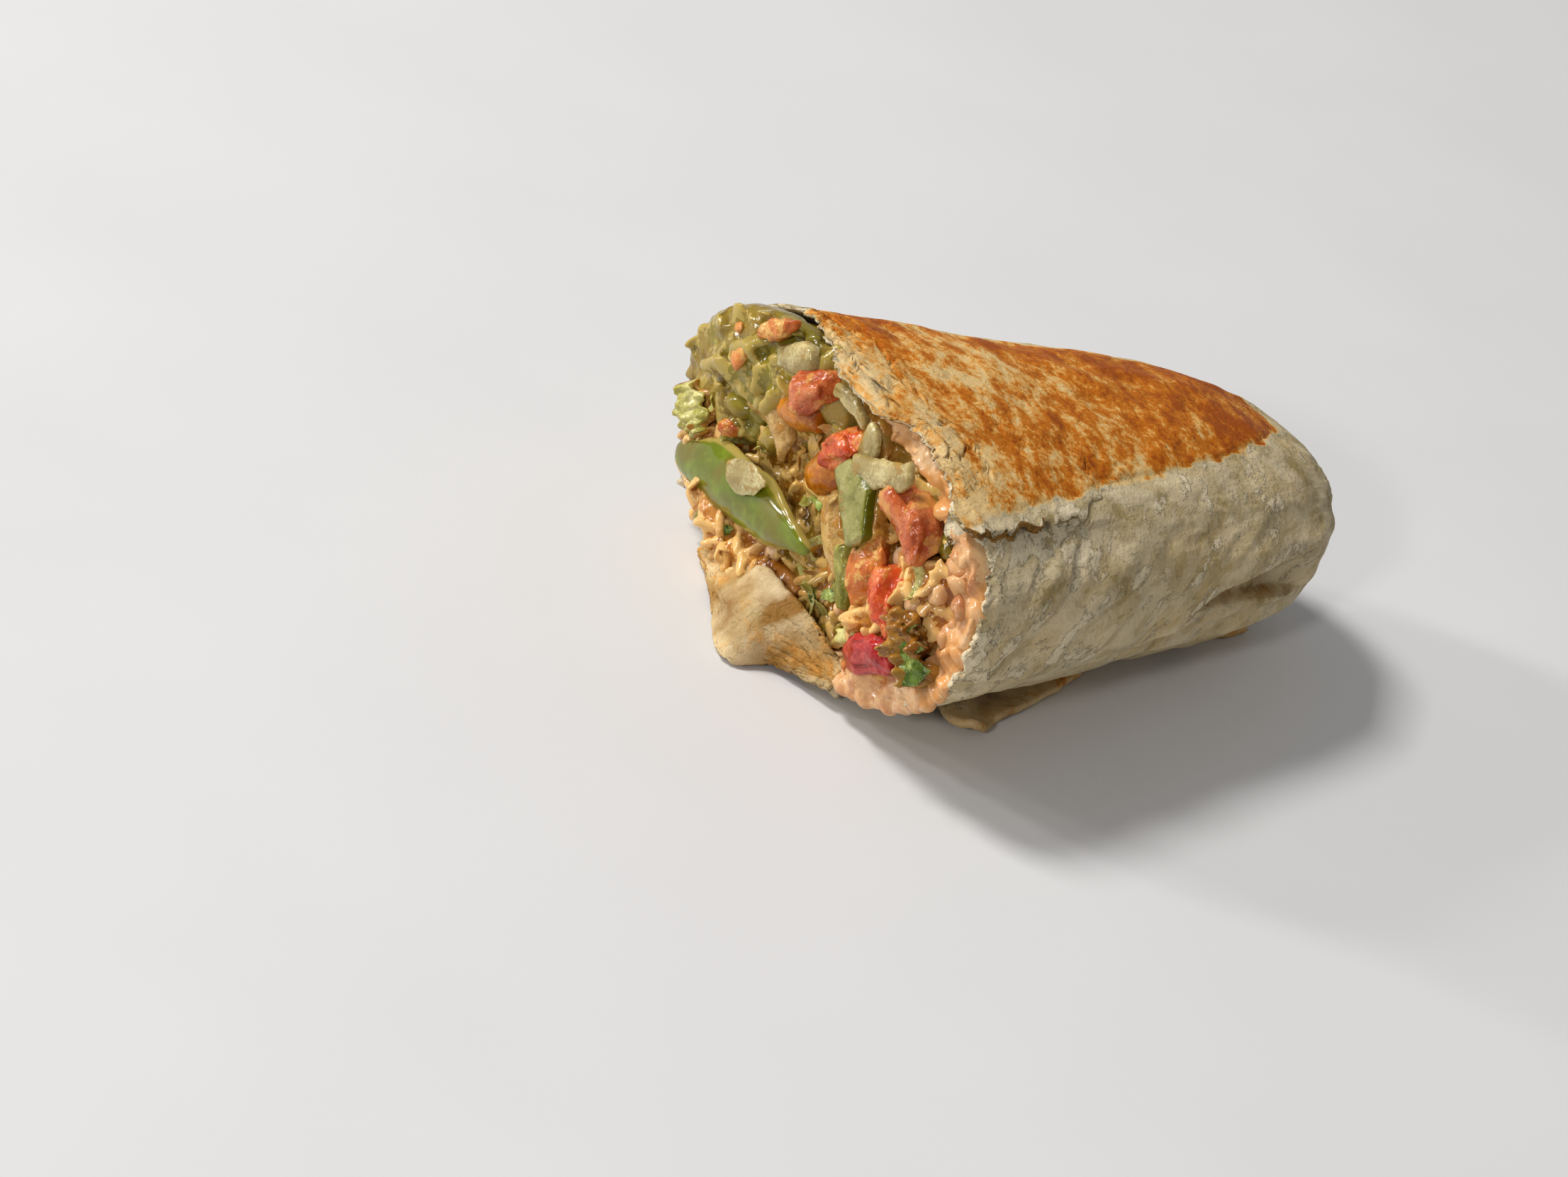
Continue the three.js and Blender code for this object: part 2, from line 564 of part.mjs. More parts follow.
// A grid of jittered places over a layer's face.
function layerSpots(layer, around, deep, proud, seed) {
  const spots = [];
  for (let i = 0; i < around; i += 1) {
    for (let j = 0; j < deep; j += 1) {
      const jitter = (n) => 0.7 * (hash(i + seed, j, n) - 0.5);
      const u = (i + 0.5 + jitter(1)) / around;
      const v = (j + 0.5 + jitter(2)) / deep;
      const [, y, z] = innerPoint(0, lerp(layer.from, layer.to, u), 2.6, lerp(layer.inner, layer.outer, v));
      const out = faceOut(layer, u, v) + proud;
      const number = seed + i * deep + j;
      spots.push({
        number, at: { across: y, up: z, out, turn: 360 * hash(number, 1, 0), swing: 18 * noise(number, 1, 1) },
      });
    }
  }
  return spots;
}

// Drops every scrap but the largest part of a solid.
function largest(solid) {
  return solid.decompose().reduce((best, part) => (part.volume() > best.volume() ? part : best));
}

function meshOf(solid, name, colour) {
  const { vertProperties, triVerts, numProp } = solid.getMesh();
  const points = [];
  for (let i = 0; i < vertProperties.length; i += numProp) points.push(...vertProperties.slice(i, i + 3));
  const geometry = new THREE.BufferGeometry();
  geometry.setAttribute('position', new THREE.Float32BufferAttribute(points, 3));
  geometry.setIndex(new THREE.BufferAttribute(new Uint32Array(triVerts), 1));
  geometry.computeVertexNormals();
  const material = new THREE.MeshStandardMaterial({ color: COLOURS[colour], roughness: 0.6, metalness: 0 });
  const mesh = new THREE.Mesh(geometry, material);
  mesh.name = name;
  return mesh;
}

const group = new THREE.Group();

const wrap = largest(rollWall().add(underSkirt()).add(tongue()).subtract(seamSlit()));
group.add(meshOf(wrap, 'tortilla', 'tortilla'));

// What is already taken, with room to spare in front of the rim.
let taken = wrap.add(wrap.translate([-FIT_GAP, 0, 0]));

for (const { name, make, colour, size, at } of PIECES) {
  const piece = largest(placed(make(size), at).subtract(taken));
  taken = taken.add(placed(make(size, FIT_GAP), at));
  group.add(meshOf(piece, name, colour));
}

// Fuses the scattered pieces that miss all the larger ones onto a filling's core.
const pieceRoom = taken;
function fill(name, colour, core, spots = [], form = grain) {
  let solid = core;
  let room = core;
  for (const { number, at } of spots) {
    const item = placed(form(number), at);
    if (item.intersect(pieceRoom).volume() < 1e-3) {
      solid = solid.add(item);
      room = room.add(placed(form(number, FIT_GAP), at));
    }
  }
  group.add(meshOf(largest(solid.subtract(taken)), name, colour));
  taken = taken.add(room);
}

const saladFace = { from: 0, to: 360, inner: 0.08, outer: 0.44, bulge: 1, rows: 1 };
fill('refried_beans', 'beans', layerSolid(LAYERS.refried_beans, 1.1));
fill('rice_front', 'rice', layerSolid(LAYERS.rice_front, 2.2), layerSpots(LAYERS.rice_front, 7, 3, 1, 11));
fill('rice_back', 'rice', layerSolid(LAYERS.rice_back, 3.3), layerSpots(LAYERS.rice_back, 10, 3, 1, 31));
fill('guacamole', 'guacamole', layerSolid(LAYERS.guacamole, 4.4).add(guacamoleSwell()));
fill('salad', 'salad', saladCore(), layerSpots(saladFace, 10, 2, 1.4, 51), shred);

export default group;
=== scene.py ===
"""Half of a burrito, dressed over its CAD frame.

The maths of the shapes is in millimetres, and the meshes are made in metres. X runs from
the cut to the tucked end, Y to the back of the roll and Z up from the flat underside.
"""

import json
import logging
import math
from dataclasses import dataclass, field
from enum import Enum
from typing import Callable, Sequence

import bmesh
import bpy
import numpy as np
from mathutils import Matrix, Vector
from mathutils.kdtree import KDTree


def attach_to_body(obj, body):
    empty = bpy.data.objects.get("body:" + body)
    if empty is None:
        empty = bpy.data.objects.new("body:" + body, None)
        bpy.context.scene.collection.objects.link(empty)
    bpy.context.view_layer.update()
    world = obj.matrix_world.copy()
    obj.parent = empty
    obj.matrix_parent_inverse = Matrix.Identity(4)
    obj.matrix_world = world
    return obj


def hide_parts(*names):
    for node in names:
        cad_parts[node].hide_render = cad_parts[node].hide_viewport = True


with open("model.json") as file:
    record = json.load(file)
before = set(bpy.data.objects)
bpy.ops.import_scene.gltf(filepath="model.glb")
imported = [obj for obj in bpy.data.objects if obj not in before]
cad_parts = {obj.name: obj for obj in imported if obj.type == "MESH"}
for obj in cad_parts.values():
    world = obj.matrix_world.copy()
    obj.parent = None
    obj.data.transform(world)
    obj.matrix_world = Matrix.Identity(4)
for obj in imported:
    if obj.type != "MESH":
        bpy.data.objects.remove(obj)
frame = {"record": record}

LOG = logging.getLogger("burrito")
MM = 0.001
# Points closer than this are one.
MEETING = 0.01 * MM
# How often a fused skin is smoothed.
SKIN_PASSES = 4
# Millimetres behind the cut: where the cores start, and how deep the fused fronts go.
CORE_START = 3.2
BED_FRONT = 5.0
SALAD_FRONT = 7.0
# Degrees round the section that the swell of guacamole and the lip of beans take.
SWELL = (-4, 74)
LIP = (188, 246)
# The size in millimetres of a plate of dry crust, along the roll and round it.
CRUST_CELL = (5.5, 6.5)
Array = np.ndarray
Colour = tuple[float, float, float]
Number = float | Array
Place = tuple[float, float, float]
Line = tuple[tuple[float, float], ...]


def hashed(i: Array, j: Array, k: Array) -> Array:
    """A repeatable value from 0 to 1 for three whole numbers."""
    s = np.sin(i * 127.1 + j * 311.7 + k * 74.7) * 43758.5453
    return s - np.floor(s)


def noise(x: Number, y: Number, z: Number) -> Array:
    """Smooth noise from -1 to 1 at each point."""
    x, y, z = np.broadcast_arrays(np.float64(x), np.float64(y), np.float64(z))
    cells = [np.floor(v) for v in (x, y, z)]
    eases = [(v - c) ** 2 * (3 - 2 * (v - c)) for v, c in zip((x, y, z), cells)]
    total = np.zeros_like(x)
    for corner in range(8):
        step = (corner & 1, (corner >> 1) & 1, (corner >> 2) & 1)
        weight = np.ones_like(x)
        for ease, s in zip(eases, step):
            weight = weight * (ease if s else 1 - ease)
        total += weight * hashed(*(c + s for c, s in zip(cells, step)))
    return total * 2 - 1


def rough_noise(x: Number, y: Number, z: Number, octaves: int = 4, fade: float = 0.55) -> Array:
    """Noise with finer noise laid over it.

    Args:
        x, y, z: where, in cells of the coarsest noise.
        octaves: how many layers of noise.
        fade: each layer's strength against the one before.

    Returns:
        Values from about -1 to 1.
    """
    total, strength, size = 0.0, 1.0, 1.0
    for octave in range(octaves):
        total = total + strength * noise(x * size + 13.7 * octave, y * size, z * size + 7.1 * octave)
        strength *= fade
        size *= 2.03
    return total


def bell(value: Number, middle: float, width: float) -> Array:
    """A smooth bump of height 1."""
    return np.exp(-(((value - middle) / width) ** 2))


def smooth(value: Number, low: float, high: float) -> Array:
    """A smooth step from 0 at low to 1 at high."""
    s = np.clip((value - low) / (high - low), 0, 1)
    return s * s * (3 - 2 * s)


def lerp(a: Number, b: Number, share: Number) -> Number:
    """The value at a share of the way from a to b."""
    return a + (b - a) * share


def spline(points: Sequence[Sequence[float]], shares: Array) -> Array:
    """Points on a smooth curve through the given ones, at shares of its run."""
    p = np.array(points, float)
    p = np.vstack([2 * p[0] - p[1], p, 2 * p[-1] - p[-2]])
    at = np.clip(shares, 0, 1) * (len(points) - 1)
    i = np.minimum(at.astype(int), len(points) - 2)
    f = (at - i)[..., None]
    a, b, c, d = p[i], p[i + 1], p[i + 2], p[i + 3]
    return 0.5 * (2 * b + (c - a) * f + (2 * a - 5 * b + 4 * c - d) * f**2 + (3 * b - a - 3 * c + d) * f**3)


@dataclass
class Shape:
    """A mesh in the making.

    Args:
        points: places in millimetres, one row each.
        faces: corner numbers, one row of three or four for each face.
        marks: values on the points, by the name the materials read.
    """

    points: Array
    faces: Array
    marks: dict[str, Array] = field(default_factory=dict)

    def mesh(self, name: str) -> bpy.types.Mesh:
        """The shape as a smooth mesh in metres."""
        made = bpy.data.meshes.new(name)
        corners = self.faces.shape[1]
        made.vertices.add(len(self.points))
        made.vertices.foreach_set("co", (self.points * MM).astype(np.float32).ravel())
        made.loops.add(self.faces.size)
        made.loops.foreach_set("vertex_index", self.faces.astype(np.int32).ravel())
        made.polygons.add(len(self.faces))
        made.polygons.foreach_set("loop_start", np.arange(0, self.faces.size, corners, dtype=np.int32))
        for mark, values in self.marks.items():
            attribute = made.attributes.new(mark, "FLOAT", "POINT")
            attribute.data.foreach_set("value", np.asarray(values, np.float32).ravel())
        made.update(calc_edges=True)
        made.validate()
        made.shade_smooth()
        return made

    def object(self, name: str, merge: bool = False) -> bpy.types.Object:
        """The shape as an object in the scene; merge joins points that meet."""
        made = bpy.data.objects.new(name, self.mesh(name))
        bpy.context.scene.collection.objects.link(made)
        if merge:
            work = bmesh.new()
            work.from_mesh(made.data)
            bmesh.ops.remove_doubles(work, verts=work.verts, dist=MEETING)
            work.to_mesh(made.data)
            work.free()
        return made

    def quads(self) -> "Shape":
        """The same shape with four corners to each face; a triangle repeats its last one."""
        if self.faces.shape[1] == 4:
            return self
        return Shape(self.points, np.hstack([self.faces, self.faces[:, -1:]]), self.marks)

    @staticmethod
    def joined(shapes: Sequence["Shape"]) -> "Shape":
        """Several shapes as one. They have the same marks and corners for each face."""
        starts = np.cumsum([0] + [len(s.points) for s in shapes])
        return Shape(
            np.vstack([s.points for s in shapes]),
            np.vstack([s.faces + start for s, start in zip(shapes, starts)]),
            {m: np.concatenate([s.marks[m].ravel() for s in shapes]) for m in shapes[0].marks},
        )


def grid_faces(rows: int, columns: int, wrap: bool = False) -> Array:
    """The faces of a grid of points, row after row.

    Args:
        rows, columns: how many points each way.
        wrap: joins the last column to the first.

    Returns:
        Four corner numbers for each face.
    """
    i, j = np.meshgrid(np.arange(rows - 1), np.arange(columns if wrap else columns - 1), indexing="ij")
    near, far, k = i * columns, (i + 1) * columns, (j + 1) % columns
    return np.stack([near + j, near + k, far + k, far + j], -1).reshape(-1, 4)


def grid_shape(points: Array, faces: Array, **marks: Number) -> Shape:
    """A grid of points as a shape, with each mark spread over the grid."""
    spread = {name: (value + 0 * points[..., 0]).ravel() for name, value in marks.items()}
    return Shape(points.reshape(-1, 3), faces, spread)


def closed_faces(rows: int, columns: int) -> Array:
    """The faces of a tube of points with a strip across each end."""
    pairs = np.arange(columns // 2 - 1)
    cap = np.stack([pairs, pairs + 1, columns - pairs - 2, columns - pairs - 1], -1)
    end = (rows - 1) * columns
    return np.vstack([grid_faces(rows, columns, True), cap, cap[:, ::-1] + end])


def ball(subdivisions: int) -> tuple[Array, Array]:
    """A unit ball's points and faces."""
    work = bmesh.new()
    bmesh.ops.create_icosphere(work, subdivisions=subdivisions, radius=1.0)
    points = np.array([v.co for v in work.verts])
    faces = np.array([[v.index for v in f.verts] for f in work.faces])
    work.free()
    return points, faces


def places(mesh: bpy.types.Mesh) -> Array:
    """A mesh's points, one row each."""
    points = np.empty(len(mesh.vertices) * 3, np.float32)
    mesh.vertices.foreach_get("co", points)
    return points.reshape(-1, 3)


def ring(count: int) -> Array:
    """Angles once round a tube, as a row."""
    return np.linspace(0, 2 * np.pi, count, endpoint=False)[None, :]


class Socket:
    """An output in a material's node tree, for use in Python expressions on values."""

    def __init__(self, book: "NodeBook", output: bpy.types.NodeSocket) -> None:
        """Keeps the tree and the output."""
        self.book = book
        self.output = output

    def _math(self, operation: str, first: "Socket | float", second: "Socket | float") -> "Socket":
        """A Math node on two values."""
        return self.book.node("ShaderNodeMath", {"operation": operation}, {0: first, 1: second})

    def __add__(self, other: "Socket | float") -> "Socket":
        """Sum."""
        return self._math("ADD", self, other)

    def __sub__(self, other: "Socket | float") -> "Socket":
        """Difference."""
        return self._math("SUBTRACT", self, other)

    def __rsub__(self, other: float) -> "Socket":
        """Difference, other way round."""
        return self._math("SUBTRACT", other, self)

    def __mul__(self, other: "Socket | float") -> "Socket":
        """Product."""
        return self._math("MULTIPLY", self, other)

    def twin(self, output: int | str) -> "Socket":
        """Another output of the same node."""
        return Socket(self.book, self.output.node.outputs[output])


class NodeBook:
    """A node tree that is written one node at a time."""

    def __init__(self, tree: bpy.types.NodeTree) -> None:
        """Keeps the tree."""
        self.tree = tree

    def node(
        self, kind: str, settings: dict[str, object], values: dict[int | str, object], output: int | str = 0
    ) -> Socket:
        """Adds a node.

        Args:
            kind: the node's type.
            settings: its own settings; stops holds a ramp's positions and colours.
            values: numbers or sockets for its inputs, by index or name.
            output: which of its outputs is wanted.

        Returns:
            The wanted output.
        """
        made = self.tree.nodes.new(kind)
        for key, value in settings.items():
            if key == "stops":
                self._set_stops(made.color_ramp, value)
            else:
                setattr(made, key, value)
        for key, value in values.items():
            if isinstance(value, Socket):
                self.tree.links.new(value.output, made.inputs[key])
            else:
                made.inputs[key].default_value = value
        return Socket(self, made.outputs[output])

    @staticmethod
    def _set_stops(ramp: bpy.types.ColorRamp, stops: Sequence[tuple[float, object]]) -> None:
        """Sets a ramp's stops; a plain number is a grey."""
        while len(ramp.elements) < len(stops):
            ramp.elements.new(0.5)
        for element, (position, value) in zip(ramp.elements, stops):
            element.position = position
            grey = isinstance(value, (int, float))
            element.color = (value, value, value, 1) if grey else (*linear(value), 1)


class Recipe(NodeBook):
    """A material's node tree."""

    def __init__(self, name: str) -> None:
        """An empty tree with Object coordinates."""
        self.material = bpy.data.materials.new(name)
        self.material.use_nodes = True
        super().__init__(self.material.node_tree)
        self.tree.nodes.clear()
        self.place = self.node("ShaderNodeTexCoord", {}, {}, "Object")

    def mark(self, name: str) -> Socket:
        """A value kept on the mesh."""
        return self.node("ShaderNodeAttribute", {"attribute_name": name}, {}, "Fac")

    def mapped(self, scale: Place, turn: Place) -> Socket:
        """Object coordinates, turned and then stretched."""
        turned = self.node("ShaderNodeMapping", {}, {0: self.place, 2: turn})
        return self.node("ShaderNodeMapping", {}, {0: turned, 3: scale})

    def noise(self, scale: float, detail: float = 3, rough: float = 0.55, at: Socket | None = None) -> Socket:
        """Noise from 0 to 1. scale is in cells for each metre."""
        values = {"Vector": at or self.place, "Scale": scale, "Detail": detail, "Roughness": rough}
        return self.node("ShaderNodeTexNoise", {}, values)

    def ramp(self, value: Socket, stops: Sequence[tuple[float, object]]) -> Socket:
        """A value turned into a colour or a grey."""
        return self.node("ShaderNodeValToRGB", {"stops": stops}, {0: value})

    def mix(self, share: Socket | float, first: Socket | Colour, second: Socket | Colour) -> Socket:
        """A colour between two, each given as a socket or in sRGB from 0 to 255."""
        a, b = (c if isinstance(c, Socket) else (*linear(c), 1) for c in (first, second))
        return self.node("ShaderNodeMix", {"data_type": "RGBA"}, {0: share, 6: a, 7: b}, 2)

    def tinted(self, colour: Socket, value: Socket) -> Socket:
        """A colour made lighter or darker by a value."""
        grey = self.node("ShaderNodeCombineXYZ", {}, {0: value, 1: value, 2: value})
        return self.node("ShaderNodeVectorMath", {"operation": "MULTIPLY"}, {0: colour, 1: grey})

    def finish(
        self, colour: Socket, roughness: Socket, height: Socket, depth: float, fixed: dict[str, object]
    ) -> bpy.types.Material:
        """Ends the tree in a Principled shader.

        Args:
            colour, roughness: what varies over the surface.
            height: what the bump reads, from 0 to 1.
            depth: how far the bump stands out, in millimetres.
            fixed: what is the same all over.

        Returns:
            The material.
        """
        bump = self.node("ShaderNodeBump", {}, {"Strength": 1.0, "Distance": depth * MM, "Height": height})
        varied = {"Base Color": colour, "Roughness": roughness, "Normal": bump}
        shader = self.node("ShaderNodeBsdfPrincipled", {}, {**varied, **fixed})
        output = self.tree.nodes.new("ShaderNodeOutputMaterial")
        self.tree.links.new(shader.output, output.inputs[0])
        return self.material


def linear(colour: Sequence[float]) -> Colour:
    """A colour in sRGB from 0 to 255, as Blender's linear values."""
    shares = [c / 255 for c in colour]
    return tuple(c / 12.92 if c <= 0.04045 else ((c + 0.055) / 1.055) ** 2.4 for c in shares)


def along_line(x: Array, degrees: Array, line: Line, arc: float) -> tuple[Array, Array]:
    """How far each point lies from a line drawn on the roll.

    Args:
        x, degrees: the points.
        line: the line's corners, as x and degrees.
        arc: millimetres round the section for each degree.

    Returns:
        The distance in millimetres, above nought on the line's left side, and the share along it.
    """
    best = np.full(np.broadcast(x, degrees).shape, 1e9)
    share = np.zeros_like(best)
    for n, ((x0, a0), (x1, a1)) in enumerate(zip(line[:-1], line[1:])):
        dx, da = x1 - x0, (a1 - a0) * arc
        px, pa = x - x0, (degrees - a0) * arc
        long = math.hypot(dx, da)
        run = np.clip((px * dx + pa * da) / long**2, 0, 1)
        away = np.hypot(px - run * dx, pa - run * da)
        side = np.sign(dx * pa - da * px)
        closer = away < np.abs(best)
        best = np.where(closer, np.where(side == 0, 1, side) * away, best)
        share = np.where(closer, (n + run) / (len(line) - 1), share)
    return best, share


def sheet_shape(middle: Array, thick: float, marks: dict[str, Array]) -> Shape:
    """A thin closed body round a grid of points.

    Args:
        middle: the grid, rows by columns by three.
        thick: its thickness; the outer rows and columns are drawn to nothing.
        marks: values at each point of the grid.

    Returns:
        The body, with faces pointing out.
    """
    rows, columns = middle.shape[:2]
    normal = np.cross(np.gradient(middle, axis=0), np.gradient(middle, axis=1))
    normal /= np.maximum(np.linalg.norm(normal, axis=-1, keepdims=True), 1e-9)
    half = np.full((rows, columns), thick / 2)
    half[0, :] = half[-1, :] = half[:, 0] = half[:, -1] = 0
    front, back = middle + normal * half[..., None], middle - normal * half[..., None]
    faces = grid_faces(rows, columns)
    both = np.vstack([faces, faces[:, ::-1] + rows * columns])
    doubled = {name: np.concatenate([v.ravel(), v.ravel()]) for name, v in marks.items()}
    return Shape(np.vstack([front.reshape(-1, 3), back.reshape(-1, 3)]), both, doubled)


def eased(count: int, ends: float = 0.3) -> Array:
    """Shares from 0 to 1 that stand closer together at both ends."""
    s = np.linspace(0, 1, count)
    return lerp(s, (1 - np.cos(np.pi * s)) / 2, ends)


@dataclass(frozen=True)
class GriddledDough:
    """The tortilla's finish: pale and floury, browned in streaks where it lay on the griddle."""

    pale: Colour = (196, 172, 124)
    damp: Colour = (162, 142, 94)
    floury: Colour = (228, 213, 180)
    cream: Colour = (222, 188, 128)
    tan: Colour = (214, 156, 78)
    brown: Colour = (190, 108, 16)
    dark: Colour = (152, 70, 4)
    # The oil-brown of real oil stains; the same brown is also laid as painted shade in creases, recesses and
    # the open gap.
    oil_and_shade: Colour = (146, 104, 44)

    def material(self) -> bpy.types.Material:
        """The finish as a material."""
        book = Recipe("griddled_dough")
        wide = book.noise(1.0, 4, 0.6, book.mapped((80, 36, 60), (0, 0, 0.2)))
        streaks = book.noise(1.0, 7, 0.72, book.mapped((270, 150, 220), (0, 0, 0.25)))
        folds = book.noise(1.0, 7, 0.66, book.mapped((75, 140, 300), (0, 0.69, 0)))
        blots = book.noise(110, 6, 0.62)
        fine = book.noise(900, 4, 0.65)
        specks = book.noise(1500, 2, 0.5)
        steps = [(0.4, 0.0), (0.415, 0.4), (0.5, 0.45), (0.515, 0.8), (0.6, 0.85), (0.612, 1.0)]
        flakes = book.ramp(book.noise(1.0, 6, 0.6, book.mapped((95, 150, 190), (0, 0.6, 0))), steps)
        browning = book.mark("griddled")
        inside = book.ramp(browning, [(0.12, 0.0), (0.42, 1.0)])
        heat = browning * 0.68 + (streaks - 0.5) * 3.2 + (wide - 0.5) * 1.7 + (fine - 0.5) * 0.9
        heat = heat * inside
        dough = book.mix(book.ramp(blots, [(0.4, 0.0), (0.6, 1.0)]), self.pale, self.damp)
        dough = book.mix(flakes * 0.6, dough, self.floury)
        flour = book.mark("floury") + (folds - 0.5) * 4.2 + (fine - 0.5) * 1.0
        plaster = book.ramp(flour, [(0.42, 0.0), (0.56, 0.8), (1.2, 1.0)])
        dough = book.mix(plaster * 0.85, dough, self.floury)
        dough = book.mix(inside, dough, self.cream)
        toasted = book.mix(book.ramp(heat, [(0.1, 0.0), (0.32, 1.0)]), dough, self.tan)
        browned = book.mix(book.ramp(heat, [(0.36, 0.0), (0.56, 1.0)]), toasted, self.brown)
        colour = book.mix(book.ramp(heat, [(0.66, 0.0), (1.1, 0.9)]), browned, self.dark)
        # This mark darkens real oil stains and also paints shade where it falls: under the folds, the
        # overhang and the ledge, and in the gap by the cut.
        soaked_and_shaded = book.ramp(book.mark("soaked_and_shaded") + (blots - 0.5) * 1.2, [(0.3, 0.0), (0.8, 1.0)])
        colour = book.mix(soaked_and_shaded, colour, self.oil_and_shade)
        colour = book.tinted(colour, book.ramp(specks, [(0.24, 0.7), (0.36, 1.0)]))
        crust = (flakes * 0.2 + plaster * 0.3) * (1.0 - inside * 0.6)
        height = blots * 0.25 + streaks * 0.2 + fine * 0.25 + crust
        roughness = 0.68 - book.ramp(heat, [(0.3, 0.0), (0.8, 0.16)]) - soaked_and_shaded * 0.3
        fixed = {
            "Subsurface Weight": 0.1,
            "Subsurface Radius": (1.0, 0.6, 0.35),
            "Subsurface Scale": 0.0012,
            "Specular IOR Level": 0.14,
        }
        return book.finish(colour, roughness, height, 1.3, fixed)


@dataclass(frozen=True)
class WetFlesh:
    """The finish of wet vegetable flesh, paste or grain, in three colours laid over each other."""

    name: str
    light: Colour
    middle: Colour
    deep: Colour
    grain: float = 260.0
    stretch: float = 1.0
    depth: float = 0.1
    roughness: float = 0.3
    glow: float = 0.15
    edge: Colour | None = None
    chip: Colour | None = None
    sauce: Colour | None = None
    sauced: float = 0.5
    patch: Colour | None = None
    reach: float = 0.0016

    def material(self) -> bpy.types.Material:
        """The finish as a material."""
        book = Recipe(self.name)
        place = book.place
        if self.stretch != 1.0:
            run = book.mark("run") * self.stretch
            place = book.node("ShaderNodeCombineXYZ", {}, {0: run, 1: book.mark("side")})
        coarse = book.noise(self.grain, 4, 0.6, place)
        blots = book.noise(self.grain * 0.35, 3, 0.6)
        fine = book.noise(self.grain * 4.5, 3, 0.6)
        tone = book.mark("tone")
        share = coarse + (tone - 0.5) * 0.5
        colour = book.mix(book.ramp(share, [(0.3, 0.0), (0.56, 1.0)]), self.deep, self.middle)
        pale = book.ramp(blots + (fine - 0.5) * 0.5, [(0.46, 0.0), (0.68, 1.0)])
        colour = book.mix(pale, colour, self.light)
        if self.patch:
            wide = book.noise(95, 3, 0.5)
            colour = book.mix(book.ramp(wide, [(0.48, 0.0), (0.58, 0.85)]), colour, self.patch)
        if self.edge:
            rim = book.mark("edge") + (coarse - 0.5) * 0.35
            colour = book.mix(book.ramp(rim, [(0.42, 0.0), (0.62, 1.0)]), colour, self.edge)
        if self.chip:
            sunk = book.mark("chip") * (tone * 0.7 + 0.5)
            colour = book.mix(book.ramp(sunk, [(0.2, 0.0), (0.75, 0.9)]), colour, self.chip)
        height = coarse * 0.75 + fine * 0.25
        if self.sauce:
            smear = book.noise(230, 5, 0.62, book.mapped((1, 1, 1), (0.4, 0.2, 0.9)))
            film = book.ramp(smear, [(1 - self.sauced, 0.0), (1.06 - self.sauced, 0.9)])
            colour = book.mix(film, colour, self.sauce)
            height = height + film * 1.2
        roughness = fine * 0.16 + (self.roughness - 0.08)
        fixed = {
            "Subsurface Weight": self.glow,
            "Subsurface Radius": (1.0, 0.7, 0.4),
            "Subsurface Scale": self.reach,
            "Specular IOR Level": 0.4,
        }
        return book.finish(colour, roughness, height, self.depth, fixed)


TOMATO = WetFlesh(
    "tomato_flesh", (222, 124, 62), (200, 76, 30), (166, 44, 18), 380, roughness=0.18, sauce=(206, 136, 62),
    sauced=0.48,
)
PINK_TOMATO = WetFlesh(
    "pink_tomato", (208, 126, 74), (182, 86, 40), (150, 54, 22), 520, roughness=0.18, sauce=(200, 138, 66),
    sauced=0.47,
)
ORANGE_TOMATO = WetFlesh(
    "orange_tomato", (222, 154, 74), (200, 112, 40), (168, 72, 16), 320, roughness=0.18,
    sauce=(214, 164, 86), sauced=0.5,
)
CRIMSON = WetFlesh(
    "crimson_pepper", (196, 74, 62), (166, 20, 24), (130, 6, 10), 300, roughness=0.14, depth=0.06,
    sauce=(196, 104, 60), sauced=0.36,
)
AMBER = WetFlesh(
    "amber_pepper", (198, 124, 32), (170, 92, 10), (134, 62, 2), 260, roughness=0.18, sauce=(182, 126, 46),
    sauced=0.45,
)
ONION = WetFlesh(
    "onion", (202, 188, 138), (164, 146, 92), (124, 104, 50), 420, 0.1, 0.08, 0.14, 0.6,
    sauce=(158, 124, 56), sauced=0.44, reach=0.004,
)
TAN_ONION = WetFlesh(
    "oily_onion", (206, 172, 108), (176, 134, 66), (134, 92, 32), 420, 0.1, 0.1, 0.16, 0.4,
    sauce=(176, 124, 50), sauced=0.48,
)
PEPPER_SKIN = WetFlesh(
    "green_pepper_skin", (126, 140, 34), (100, 114, 16), (96, 90, 12), 90, 0.5, 0.05, 0.12, 0.1,
    (158, 140, 68), patch=(110, 100, 22),
)
PEPPER_FLESH = WetFlesh(
    "green_pepper_flesh", (170, 162, 98), (138, 134, 66), (102, 100, 32), 620, 1.0, 0.08, 0.16, 0.25,
    (92, 94, 12), sauce=(150, 120, 50), sauced=0.42,
)
STALK = WetFlesh("celery", (172, 164, 84), (126, 122, 44), (84, 84, 18), 420, 0.1, 0.1, 0.14)
LETTUCE = WetFlesh(
    "lettuce", (216, 208, 138), (172, 164, 78), (122, 116, 34), 380, 0.15, 0.1, 0.14, 0.3,
    sauce=(160, 126, 52), sauced=0.42,
)
HERB = WetFlesh("herb_leaf", (176, 190, 100), (96, 122, 34), (36, 58, 8), 620, 0.2, 0.18, 0.14, 0.2)
BEANS = WetFlesh(
    "refried_beans", (234, 200, 156), (216, 168, 116), (180, 118, 74), 240, 1.0, 0.22, 0.18, 0.2,
    chip=(226, 182, 126), patch=(214, 150, 84),
)
RICE = WetFlesh("seasoned_rice", (236, 204, 142), (218, 168, 92), (190, 120, 38), 200, 1.0, 0.1, 0.16, 0.3)
